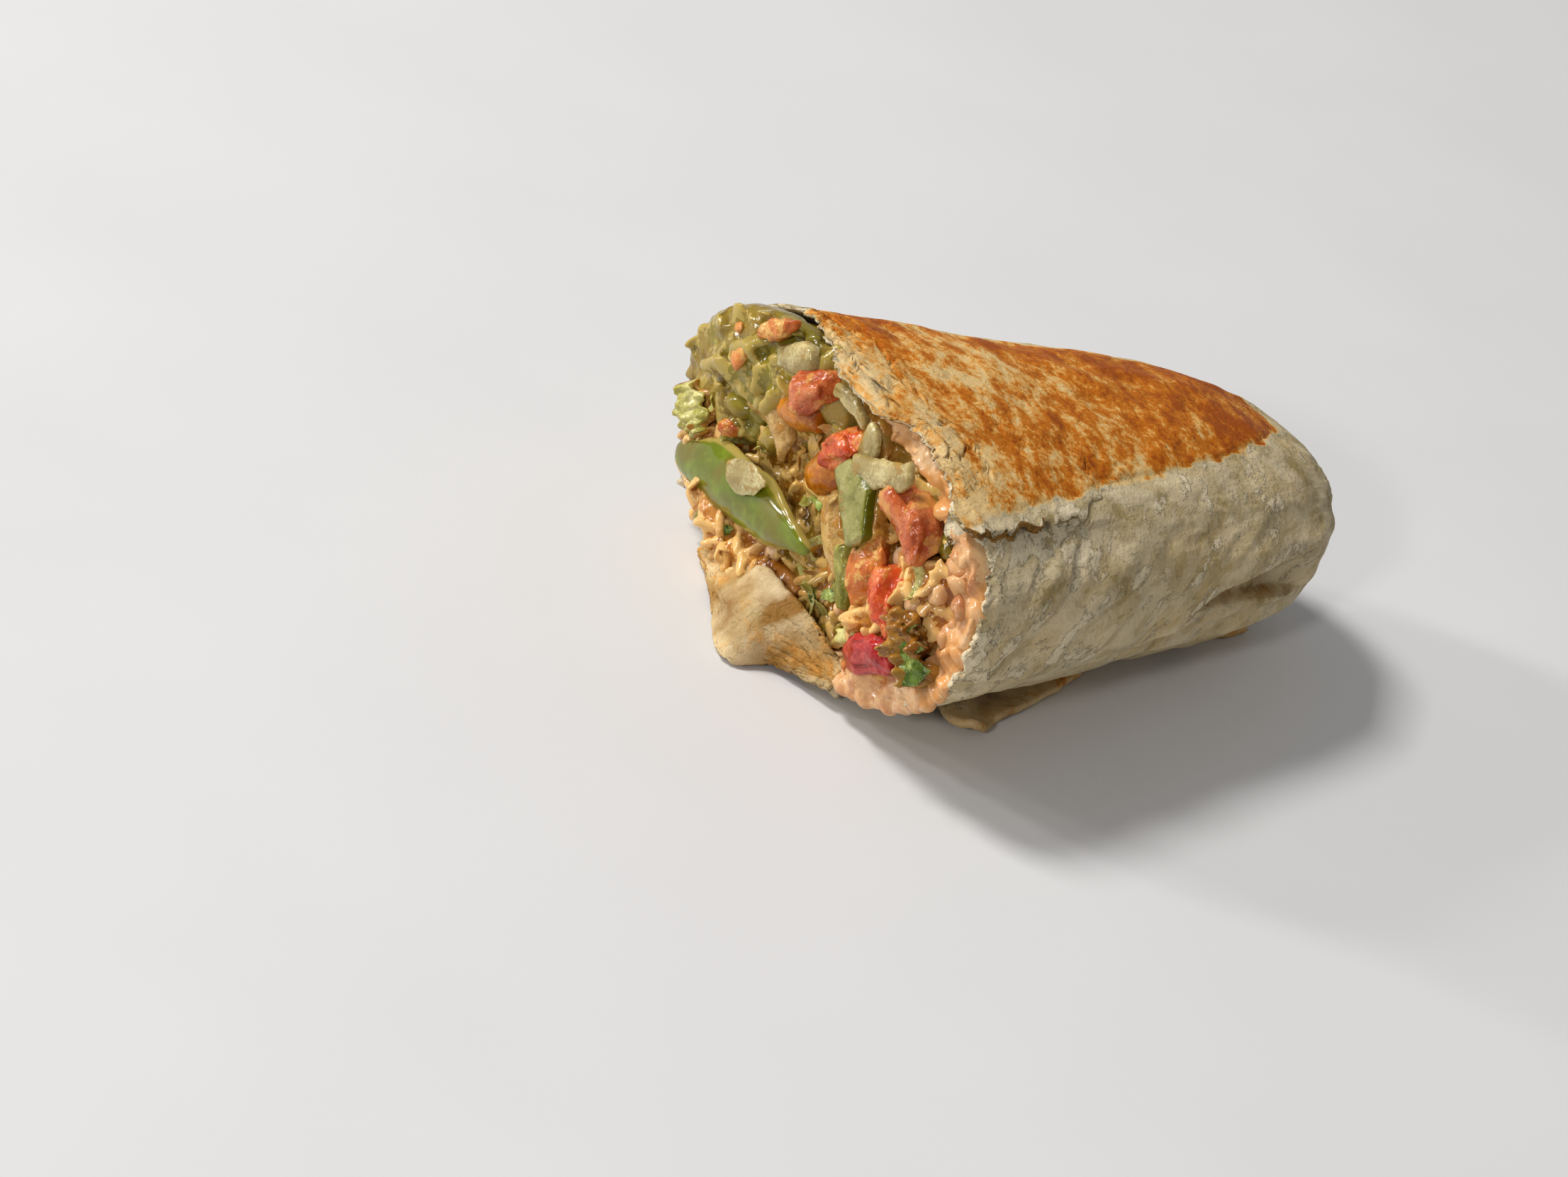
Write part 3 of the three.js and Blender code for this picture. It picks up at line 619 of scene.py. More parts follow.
MASH = WetFlesh(
    "rice_mash", (206, 142, 56), (170, 102, 26), (120, 62, 6), 220, 1.0, 0.2, 0.16, 0.3,
    chip=(228, 186, 116), patch=(198, 138, 72),
)
PASTE = WetFlesh(
    "guacamole", (172, 148, 66), (142, 116, 36), (92, 72, 10), 190, 1.0, 0.26, 0.16, 0.3,
    chip=(178, 154, 76), patch=(128, 116, 34),
)
MIXED = WetFlesh(
    "salad_bed", (190, 142, 62), (150, 98, 28), (86, 50, 4), 230, 1.0, 0.22, 0.16, 0.25,
    chip=(214, 176, 100), patch=(138, 110, 34),
)


@dataclass
class RollForm:
    """The roll's outside and inside, as in the CAD. Sizes in millimetres, angles in degrees.

    Angles go round the section: 0 is the back, 90 the top, 180 the front.
    """

    length: float = 117.0
    cut_x: float = -56.0
    cut_width: float = 103.0
    cut_height: float = 57.5
    end_width: float = 51.0
    end_height: float = 45.0
    end_round_share: float = 0.35
    end_round_power: float = 2.6
    end_crest: float = 0.42
    end_flatness: float = 0.3
    underside_shave: float = 1.4
    widest_share: float = 0.51
    cut_lean: float = 0.055
    wall: float = 2.2
    end_wall: float = 3.2
    fit_gap: float = 0.35
    corner_powers: tuple[float, float, float, float] = (2.4, 2.75, 1.65, 2.5)
    rim: Line = (
        (-90, 0.5), (-60, 2.4), (-20, 2.4), (20, 2.8), (42, 6), (56, 8), (67, 3), (76, 0.5), (86, -2.6),
        (95, -3.2), (99, 1.6), (110, 0.6), (128, -0.8), (134, 0), (140, 2.6), (160, 1.2), (182, -1),
        (215, 1), (270, 0.5),
    )

    def size(self, t: Number) -> tuple[Array, Array, Array]:
        """The half width, height and closing share at a share of the length."""
        s = np.clip((t - (1 - self.end_round_share)) / self.end_round_share, 0, 1)
        half = lerp(self.cut_width, self.end_width, t) / 2
        height = lerp(self.cut_height, self.end_height, t)
        return half, height, (1 - s**self.end_round_power) ** (1 / self.end_round_power)

    def power(self, y: Array, z: Array) -> Array:
        """How square the section's corner is on the side of its middle where y and z lie."""
        back_top, front_top, front_bottom, back_bottom = self.corner_powers
        top, bottom = np.where(y >= 0, back_top, front_top), np.where(y >= 0, back_bottom, front_bottom)
        return np.where(z >= 0, top, bottom)

    def section(self, t: Number, degrees: Number, inset: Number, depth: Number = 1.0) -> tuple[Array, Array]:
        """Y and Z of the section at an angle.

        Args:
            t: share of the length.
            degrees: the angle.
            inset: how far in from the outside.
            depth: draws the point towards the middle of the section.

        Returns:
            Y and Z.
        """
        half, height, close = self.size(t)
        c = np.cos(np.radians(degrees))
        s = np.sin(np.radians(degrees))
        power = self.power(c, s)
        y = np.sign(c) * np.abs(c) ** (2 / power) * (half * close - inset)
        reach = np.where(s >= 0, 1 - self.widest_share, self.widest_share) * height - inset
        z = self.widest_share * height + np.sign(s) * np.abs(s) ** (2 / power) * reach
        crest = self.end_crest * height
        kept = self.end_flatness + (1 - self.end_flatness) * close
        middle = crest + (self.widest_share * height - crest) * kept
        return y * depth, middle + (crest + (z - crest) * kept - middle) * depth

    def held(self, points: Array) -> Array:
        """Places that stand out past the section's outline at the cut, drawn back almost to it."""
        half, height = self.cut_width / 2, self.cut_height
        middle = self.widest_share * height - self.underside_shave
        y, z = points[:, 1] / half, points[:, 2] - middle
        z = z / np.where(z > 0, (1 - self.widest_share) * height, middle)
        power = self.power(y, z)
        reach = (np.abs(y) ** power + np.abs(z) ** power) ** (1 / power)
        kept = np.where(reach > 1, (1 + 0.15 * (reach - 1)) / np.maximum(reach, 1e-6), 1)
        out = points.copy()
        out[:, 1] *= kept
        out[:, 2] = middle + (out[:, 2] - middle) * kept
        return out

    def relief(self, x: Array, degrees: Array) -> Array:
        """How far the outside stands out: wrinkles, seam, creases and the folded end."""
        wrinkle = 0.45 * noise(x / 11, degrees / 16, 3.7) + 0.3 * noise(x / 5, degrees / 9, 8.2)
        below = np.maximum(0, degrees - 134)
        seam = np.where(below > 0, -1.5 * np.exp(-below / 16) * (1 - smooth(x, 22, 44)), 0)
        near = 1.1 * bell(degrees + 1.9 * x, 188, 6) * bell(x, 16, 13)
        far = 1.0 * bell(degrees + 1.6 * x, 214, 7) * bell(x, 32, 13)
        hollow = -3.0 * bell(x, 84, 16) * bell(degrees, 177, 9)
        fold = bell(degrees, 158, 9) * smooth(x, 45, 80)
        lip = -1.5 * bell(degrees, 191, 5) * smooth(x, 48, 70)
        return wrinkle + seam + near + far + hollow + fold + lip

    def rim_shift(self, degrees: Array) -> Array:
        """How far along X the torn rim stands at an angle."""
        a = np.where(degrees > 270, degrees - 360, degrees)
        stops = np.array(self.rim)
        tear = noise(a / 13, 4.1, 0.0) + 0.6 * noise(a / 5, 9.4, 0.0)
        return np.interp(a, stops[:, 0], stops[:, 1]) + 0.7 * tear

    def outer(self, t: Array, degrees: Array, lift: Number) -> Array:
        """Points of the outside.

        Args:
            t, degrees: where, with degrees from -90 to 270.
            lift: how far they stand out over the relief.

        Returns:
            Places, one row each.
        """
        y, z = self.section(t, degrees, 0.0)
        bulge = self.relief(t * self.length, degrees) * np.minimum(1, (1 - t) * 25) + lift
        a = np.radians(degrees)
        out_z = np.maximum(0, z + np.sin(a) * bulge - self.underside_shave)
        lean = (z - self.cut_height / 2) * self.cut_lean
        x = self.cut_x + t * self.length + (1 - t) ** 8 * (lean + self.rim_shift(degrees))
        return np.stack([x, y + np.cos(a) * bulge, out_z], -1)

    def inner(self, t: Array, degrees: Array, gap: Number, depth: Number = 1.0) -> Array:
        """Points inside the wall; gap is what they keep from it."""
        inset = self.wall + gap + self.end_wall * smooth(t * self.length, 50, 88)
        y, z = self.section(t, degrees, inset, depth)
        lean = (1 - t) ** 8 * (z - self.cut_height / 2) * self.cut_lean
        lowered = z - self.underside_shave * (1 - z / self.cut_height)
        x = self.cut_x + t * self.length + lean
        return np.stack([x, y, np.maximum(self.wall + gap, lowered)], -1)


@dataclass
class Tortilla:
    """The wrap: one wall with a torn seam on the front shoulder, open at the cut."""

    form: RollForm
    finish: GriddledDough
    across: int = 476
    groove: Line = (
        (-7.5, -3.0), (-5.0, -2.6), (-2.8, -2.2), (-1.2, -1.9), (-0.2, -1.65), (0.5, -1.3), (0.9, -0.85),
        (0.75, -0.4), (0.3, -0.1),
    )
    groove_end: Line = ((-361.2, -0.15), (-363, -0.5), (-365.5, -0.9))
    seam: Line = (
        (0, 134), (10.5, 134), (21.6, 130.5), (31.5, 130), (41, 119.5), (59, 116.5), (74, 111.5),
        (90, 103), (98, 95), (117, 92),
    )
    edge: Line = (
        (0, 131.5), (17.5, 126), (35, 122), (41, 118.5), (59, 116), (74, 111.5), (90, 103), (98, 95),
        (117, 92),
    )
    pleats: tuple[tuple[float, Line], ...] = (
        (1.0, ((2, 183), (8, 176), (15, 170), (21, 160), (25, 147), (29, 135))),
        (0.9, ((23, 186), (24, 179), (26, 172), (31, 168), (42, 161), (50, 147))),
        (0.7, ((30, 189), (36, 180), (40, 173), (44, 166))),
        (0.8, ((0, 181), (8, 184), (20, 190), (32, 196))),
        (0.4, ((52, 176), (57, 168), (65, 158), (72, 145))),
        (0.35, ((70, 158), (78, 147), (84, 134))),
        (0.35, ((10, 158), (14, 149), (18, 138))),
    )
    overhang: Line = (
        (38, 191), (49, 189), (56, 182), (62, 176), (75, 168), (84, 163), (93, 158), (104, 156)
    )
    ledge: Line = ((50, 189), (59, 181), (65, 178), (78, 179), (92, 183), (104, 193))
    arc: float = 0.72

    def seam_angle(self, x: Array) -> Array:
        """The angle where the top layer's torn edge lies, along the roll."""
        stops = np.array(self.seam)
        torn = 2.4 * rough_noise(x / 3.4, 2.2, 0.0, 5, 0.62) * (1 - 0.75 * smooth(x, 28, 50))
        return np.interp(x, stops[:, 0], stops[:, 1]) + torn

    def gap(self, x: Array, below: Array) -> Array:
        """1 in the open gap just below the torn edge by the cut, and 0 elsewhere."""
        wide = (3.4 + 2.4 * noise(x / 2.3, 5.0, 0.0)) * (1 - smooth(x, 11, 22))
        return (1 - smooth(below, wide - 0.6, wide + 0.6)) * (1 - smooth(x, 17, 22))

    def griddled(self, x: Array, degrees: Array) -> Array:
        """How browned the dough is, from 0 to 1, along the roll and round it."""
        stops = np.array(self.edge)
        front = np.interp(x, stops[:, 0], stops[:, 1])
        back = 52 + 6 * noise(x / 20, 1.0, 0.0)
        ragged = 3.4 * rough_noise(x / 5, degrees / 8, 5.0, 5, 0.62)
        top = smooth(front - degrees + 0.6 * ragged, -2.4, 1.8) * smooth(degrees - back + ragged, -5, 6)
        end = 1 - smooth(x + 0.6 * ragged, 98, 102.5)
        strength = 0.72 + 0.42 * smooth(x, 35, 85) + 0.3 * bell(degrees, 60, 13)
        strength = strength + 0.12 * bell(degrees, 118, 8)
        strength = strength - 0.2 * bell(x, 34, 16) * bell(degrees, 95, 16) - 0.4 * (1 - smooth(x, 4, 20))
        return top * end * np.clip(strength, 0, 1.3)

    def floury(self, x: Array, degrees: Array) -> Array:
        """Where flour shows white: on the pleats, the torn edge and the rim."""
        total = 0.3 * rough_noise(x / 9, degrees / 10, 3.0, 3)
        for height, line in self.pleats:
            away, _ = along_line(x, degrees, line, self.arc)
            total = total + 0.5 * height * bell(away, -1.4, 2.0)
        away, _ = along_line(x, degrees, self.overhang, self.arc)
        total = total + 0.35 * bell(away, -1.8, 2.4) - 0.4 * smooth(away, 0, 1.5)
        total = total + 0.6 * np.exp(-(x**2) / 5.0) * (0.6 + noise(degrees / 5, x / 2, 4.0))
        total = total + 0.8 * bell(self.seam_angle(x) - degrees, 1, 2.6) * (1 - smooth(x, 40, 60))
        return np.clip(total, 0, 1.2)

    def soak_and_shade(self, x: Array, degrees: Array) -> Array:
        """Where the dough is darkened with the oil-brown: painted shade under the folds' edges, in the recess
        under the overhang, along the crease of the ledge and in the open gap below the torn edge, and a
        darker band low on the front.
        """
        total = 0.0
        # Painted shade in the groove just past each fold's sharp edge.
        for height, line in self.pleats[:4]:
            away, share = along_line(x, degrees, line, self.arc)
            total = total + 0.5 * height * bell(away, 1.6, 1.2) * bell(share, 0.45, 0.3)
        away, _ = along_line(x, degrees, self.overhang, self.arc)
        ledge, _ = along_line(x, degrees, self.ledge, self.arc)
        # Painted shade in the recess under the overhang and in the crease along the ledge.
        total = total + 0.24 * smooth(away, 0, 1) * smooth(x, 46, 58) + 0.35 * bell(ledge, 0, 0.8)
        total = total + 0.25 * bell(degrees, 207, 5) * smooth(x, 40, 60)
        total = np.clip(total, 0, 0.7) * (1 - smooth(degrees, 208, 222)) * (degrees > 136)
        # Painted shade: the open gap below the torn edge is filled with dark oil-brown.
        below = degrees - self.seam_angle(x)
        return np.maximum(total, 1.5 * self.gap(x, below) * (below > -1))

    def pleat_lift(self, x: Array, degrees: Array) -> Array:
        """How far the pleats stand out, each with a sharp edge, and the folded end below its overhang."""
        total = 0.0
        for height, line in self.pleats:
            away, share = along_line(x, degrees, line, self.arc)
            tapered = np.sin(np.pi * np.clip(share * 0.9 + 0.05, 0, 1)) ** 0.5
            ridge = np.where(away > 0, bell(away, 0, 0.8), np.exp(np.minimum(0, away) / 4.2))
            total = total + height * tapered * (ridge - 0.3 * bell(away, 2.4, 1.6))
        away, _ = along_line(x, degrees, self.overhang, self.arc)
        below, _ = along_line(x, degrees, self.ledge, self.arc)
        here = smooth(x, 46, 60) * (1 - smooth(x, 96, 105)) * smooth(degrees, 146, 156)
        sunk = smooth(away, 0.1, 1.3) * (1 - smooth(degrees, 206, 226))
        strip = smooth(below, -0.5, 0.7) * (1 - smooth(degrees, 200, 216))
        edge = np.where(away > 0, bell(away, 0, 0.7), np.exp(np.minimum(0, away) / 6))
        return total + here * (1.3 * edge - 3.2 * sunk + 2.9 * strip)

    def crackle(self, x: Array, degrees: Array) -> tuple[Array, Array, Array]:
        """Dry plates of crust by the rim.

        Returns:
            How near a crack each point is, a value of its own for each plate, and where they are.
        """
        s = degrees * 0.8
        wx = x + 1.2 * rough_noise(x / 3, s / 3, 1.0, 3)
        ws = s + 1.2 * rough_noise(x / 3, s / 3, 9.0, 3)
        long, wide = CRUST_CELL
        cells = [np.floor(wx / long), np.floor(ws / wide)]
        nearest, second = np.full(np.shape(wx), 1e9), np.full(np.shape(wx), 1e9)
        chosen = np.zeros(np.shape(wx))
        for i in (-1, 0, 1):
            for j in (-1, 0, 1):
                cx, cs = cells[0] + i, cells[1] + j
                middle_x = (cx + 0.15 + 0.7 * hashed(cx, cs, 1.0)) * long
                middle_s = (cs + 0.15 + 0.7 * hashed(cx, cs, 2.0)) * wide
                away = np.hypot(middle_x - wx, middle_s - ws)
                second = np.minimum(second, np.maximum(nearest, away))
                chosen = np.where(away < nearest, hashed(cx, cs, 3.0), chosen)
                nearest = np.minimum(nearest, away)
        crack = bell(second - nearest, 0, 0.5)
        where = (1 - smooth(x, 10, 17)) * smooth(degrees, 54, 62) * (1 - smooth(degrees, 108, 122))
        later = 0.5 * bell(x, 42, 7) * bell(degrees, 114, 8) + 0.5 * bell(x, 24, 5) * bell(degrees, 100, 8)
        return crack, chosen, np.clip(where + later, 0, 1)

    def build(self) -> bpy.types.Object:
        """The tortilla's wall as a piece."""
        made = self.shape().object("tortilla_wrap", merge=True)
        made.data.materials.append(self.finish.material())
        return made

    def loop(self, x: Array) -> tuple[Array, Array, Array]:
        """Once round from under the torn edge, over it, and back into the groove below it.

        Args:
            x: distances from the cut, as a column.

        Returns:
            Angles, lifts, and the angles gone down from the seam, for each x.
        """
        inside = np.array(self.groove)
        end = np.array(self.groove_end)
        dense = np.array([[0, 0], [0.36, 96], [0.58, 226], [0.66, 262], [1, 360]])
        run = -np.interp(np.linspace(0, 1, self.across), dense[:, 0], dense[:, 1])
        turned = np.concatenate([inside[:, 0], run, end[:, 0]])[None, :]
        lift = np.concatenate([inside[:, 1], 0 * run, end[:, 1]])[None, :]
        opening = 0.16 + 0.84 * (1 - smooth(x, 30, 44))
        column = np.arange(turned.size)[None, :]
        hidden, tail = column < len(inside), column >= turned.size - len(end)
        angle = np.where(tail, -360 + (turned + 360) * opening, turned)
        angle = np.where(hidden, turned * opening, angle)
        return self.seam_angle(x) + angle, lift * opening, np.where(hidden, 0, turned)

    def skin(self, t: Array) -> tuple[Array, dict[str, Array]]:
        """The outside at shares of the length, as a column: places, and the marks of its finish."""
        x = t * self.form.length
        degrees, lift, turned = self.loop(x)
        wrapped = np.mod(degrees, 360)
        below = np.maximum(0, 360 + turned)
        dip = -(1.6 * np.exp(-below / 14) + 0.9 * np.exp(-below / 5))
        dip = dip * (1 - smooth(x, 20, 42)) * (turned < -180)
        dip = dip - 3.4 * self.gap(x, below) * (turned < -180)
        dip = dip + 0.7 * bell(turned, 0, 7) * (1 - smooth(x, 12, 34)) * (turned > -180)
        a = np.radians(degrees)
        grown = rough_noise(x / 7.5, 7.2 * np.cos(a), 7.2 * np.sin(a), 5)
        lift = lift + dip + 0.26 * grown * smooth(x, 0, 4) - 0.75 * (1 - smooth(x, 0, 3.2)) * (lift > -0.2)
        crack, plates, where = self.crackle(x, wrapped)
        lift = lift + self.pleat_lift(x, wrapped) * smooth(x, 0.5, 5)
        lift = lift + where * (0.75 * plates - 0.25 - 0.9 * crack)
        raised = 0.35 * smooth(self.edge_gap(x, wrapped), -1, 2) * (1 - smooth(x, 92, 100))
        lift = lift + raised * (wrapped < 140)
        points = self.form.outer(t + 0 * degrees, wrapped, lift * np.minimum(1, (1 - t) * 30))
        points[..., 0] += self.tear(degrees) * (1 - t) ** 10
        brown = self.griddled(x + 0 * degrees, wrapped)
        hidden = (lift < -0.9) & (turned > -180)
        brown = np.where(hidden | ((lift < -3) & (x < 24)), 0, brown)
        run = x + 0 * degrees
        # The second mark is the oil-brown darkening, mostly painted shade.
        floury, soaked_and_shaded = self.floury(run, wrapped), self.soak_and_shade(run, wrapped)
        return points, {"griddled": brown, "floury": floury, "soaked_and_shaded": soaked_and_shaded}

    @staticmethod
    def tear(degrees: Array) -> Array:
        """How ragged the rim is, along X."""
        return 1.1 * rough_noise(degrees / 3.4, 1.7, 0.0, 5, 0.66)

    def edge_gap(self, x: Array, degrees: Array) -> Array:
        """Degrees from the browned patch's front border."""
        stops = np.array(self.edge)
        return np.interp(x, stops[:, 0], stops[:, 1]) - degrees

    def shape(self) -> Shape:
        """The wall: inside near the cut, rim, and outside with the groove under the seam."""
        straight = np.linspace(0, 1, 124) ** 1.2 * 0.72
        ending = 0.72 + 0.28 * np.sin(np.linspace(0, np.pi / 2, 58)[1:]) ** (2 / 2.6)
        outside = np.concatenate([straight, ending])[:, None]
        points, skin_marks = self.skin(outside)
        depth = np.linspace(0.3, 0.0, 8)[:, None]
        degrees, lift, turned = self.loop(depth * self.form.length)
        wrapped = np.mod(degrees, 360)
        inside = self.form.inner(depth + 0 * degrees, wrapped, 0.0)
        torn = self.tear(degrees) + 0.4 * rough_noise(degrees / 1.7, 8.7, 0.0, 3)
        shift = self.form.rim_shift(wrapped)
        inside[..., 0] += (1 - depth) ** 8 * shift + torn * (1 - depth) ** 10 + 0.6
        face = []
        for share in (0.25, 0.55, 0.82):
            row = lerp(inside[-1], points[0], share)
            hollow = 0.45 * math.sin(math.pi * share)
            row[:, 0] += 0.35 * rough_noise(degrees[-1] / 1.9, share * 5, 2.0, 3) - hollow
            face.append(row)
        rows = np.concatenate([inside, np.array(face), points], 0)
        count = rows.shape[0]
        faces = grid_faces(count, rows.shape[1], True)[:, ::-1]
        blank = np.zeros((count - len(points), rows.shape[1]))
        before = {"griddled": 0.0, "floury": 0.6, "soaked_and_shaded": 0.1}
        marks = {k: np.concatenate([blank + before[k], v], 0).ravel() for k, v in skin_marks.items()}
        return Shape(rows.reshape(-1, 3), faces, marks)


@dataclass
class LooseDough:
    """The two free ends of the tortilla: the corner flopped out of the cut, and the edge underneath."""

    form: RollForm
    root: tuple[Place, ...] = (
        (0.6, 27, 0.6), (0.9, 15, 0.6), (1.0, 3, 0.6), (1.0, -9, 0.6), (1.2, -21, 1.4),
    )
    crest: tuple[Place, ...] = (
        (-0.6, 27, 2.2), (-1.8, 15, 7), (-2.6, 4, 12.6), (-2.4, -9, 12.4), (0.4, -21, 8),
    )
    foot: tuple[Place, ...] = (
        (-0.8, 26, 0.6), (-7, 11, 0.7), (-14, -5.5, 0.7), (-5, -9, 1.4), (-0.6, -21, 3.6),
    )

    def tongue(self) -> Shape:
        """The inner corner, up from the rim and forwards to the floor."""
        u = eased(90, 0.5)[:, None]
        root, crest, foot = (spline(p, u[:, 0])[:, None, :] for p in (self.root, self.crest, self.foot))
        up = eased(24, 0.2)[None, :, None]
        down = eased(60, 0.4)[None, 1:, None]
        stand = root + (crest - root) * up
        flop = crest + (foot - crest) * down
        middle = np.sin(np.pi * down) * np.sin(np.pi * u[:, :, None])
        flop[..., 0:1] -= 1.2 * middle
        points = np.concatenate([stand, flop], 1)
        v = np.concatenate([up[0, :, 0] * 0.3, 0.3 + 0.7 * down[0, :, 0]])[None, :]
        smooth_run = self.rounded_crest(points)
        wavy = 0.7 * rough_noise(u * 5, v * 5, 2.0, 6, 0.66) * np.minimum(1, v * 3)
        smooth_run[..., 0] += self.form.cut_x - 0.6 + wavy
        smooth_run[..., 2] = np.maximum(0.75, smooth_run[..., 2] + 0.3 * wavy)
        torn = 0.8 * rough_noise(u[:, 0] * 16, 1.0, 0.0, 4)
        smooth_run[:, -1, 1] += torn
        streak = bell(u + 0.25 * v, 0.78, 0.035) * (1 - smooth(v, 0.45, 0.8)) * smooth(v, 0.15, 0.3)
        marks = {
            "griddled": 0.26 + 0.16 * noise(u * 5, v * 4, 1.0),
            "floury": 0.1 * noise(u * 8, v * 8, 4.0) - 0.7,
            # An oil-brown streak, partly an oil stain and partly painted shade where the tongue meets the
            # filling; the whole tongue is also darkened a little with it.
            "soaked_and_shaded": 0.8 * streak + 0.44 + 0.25 * noise(u * 5, v * 5, 7.0),
        }
        return sheet_shape(smooth_run, 1.1, marks)

    @staticmethod
    def rounded_crest(points: Array) -> Array:
        """Softens the fold along the crest."""
        out = points.copy()
        for _ in range(2):
            out[:, 1:-1] = 0.25 * out[:, :-2] + 0.5 * out[:, 1:-1] + 0.25 * out[:, 2:]
        return out

    def skirt_edge(self, x: Array) -> Array:
        """Y of the outer edge underneath."""
        ruffle = 1.8 * np.sin((x - 19) / 3.1) * bell(x, 21, 10)
        return lerp(-34.5, -11, smooth(x, 15, 90)) - ruffle - 1.5 * bell(x, 99, 6)

    def underside(self, x: Array, y: Array) -> Array:
        """The roll's underside at a place inside its outline."""
        form = self.form
        half, height, close = form.size(x / form.length)
        power = form.power(y, -1)
        inside = np.maximum(0, 1 - np.minimum(1, np.abs(y) / (half * close)) ** power)
        z = form.widest_share * height * (1 - inside ** (1 / power))
        crest = form.end_crest * height
        kept = form.end_flatness + (1 - form.end_flatness) * close
        return np.maximum(0, crest + (z - crest) * kept - form.underside_shave)

    def skirt(self) -> Shape:
        """The edge of the last turn, flat under the front and ruffled near the cut."""
        x = lerp(19, 106, np.linspace(0, 1, 190))[:, None]
        v = eased(26, 0.6)[None, :]
        lift = 1.6 * (1 + np.sin((x - 16) / 2.7)) * bell(x, 24, 9) * (1 - v) ** 2
        y = self.skirt_edge(x) + v * 17 + 0.35 * rough_noise(x / 5, v * 3, 1.0, 3) * (1 - v)
        belly = v**2 * (self.underside(x, y) + 0.7)
        wavy = 0.25 * rough_noise(x / 6, v * 4, 4.0, 3)
        z = lift + np.maximum(0, belly - 0.7) + 0.95 + wavy * (1 - v)
        points = np.stack([self.form.cut_x + x + 0 * y, y, np.maximum(0.8, z)], -1)
        marks = {
            "griddled": 0.3 * (1 - v) + 0 * x,
            "floury": 0.2 * noise(x / 6, v * 5, 2.0),
            # Darkened with the oil-brown, most at the ruffle near the cut: partly its own brownish colour and
            # partly painted shade under the roll.
            "soaked_and_shaded": 0.3 * bell(x, 24, 14) + 0.22 + 0 * v,
        }
        return sheet_shape(points, 1.7, marks)

    def build(self, finish: bpy.types.Material) -> list[bpy.types.Object]:
        """Both free ends as pieces."""
        made = []
        for name, shape in (("tortilla_tongue", self.tongue()), ("tortilla_skirt", self.skirt())):
            piece = shape.object(name, merge=True)
            piece.data.materials.append(finish)
            made.append(piece)
        return made


class Cut(Enum):
    """How a piece was cut."""

    CHUNK = "chunk"
    SLICE = "slice"
    LEAF = "leaf"


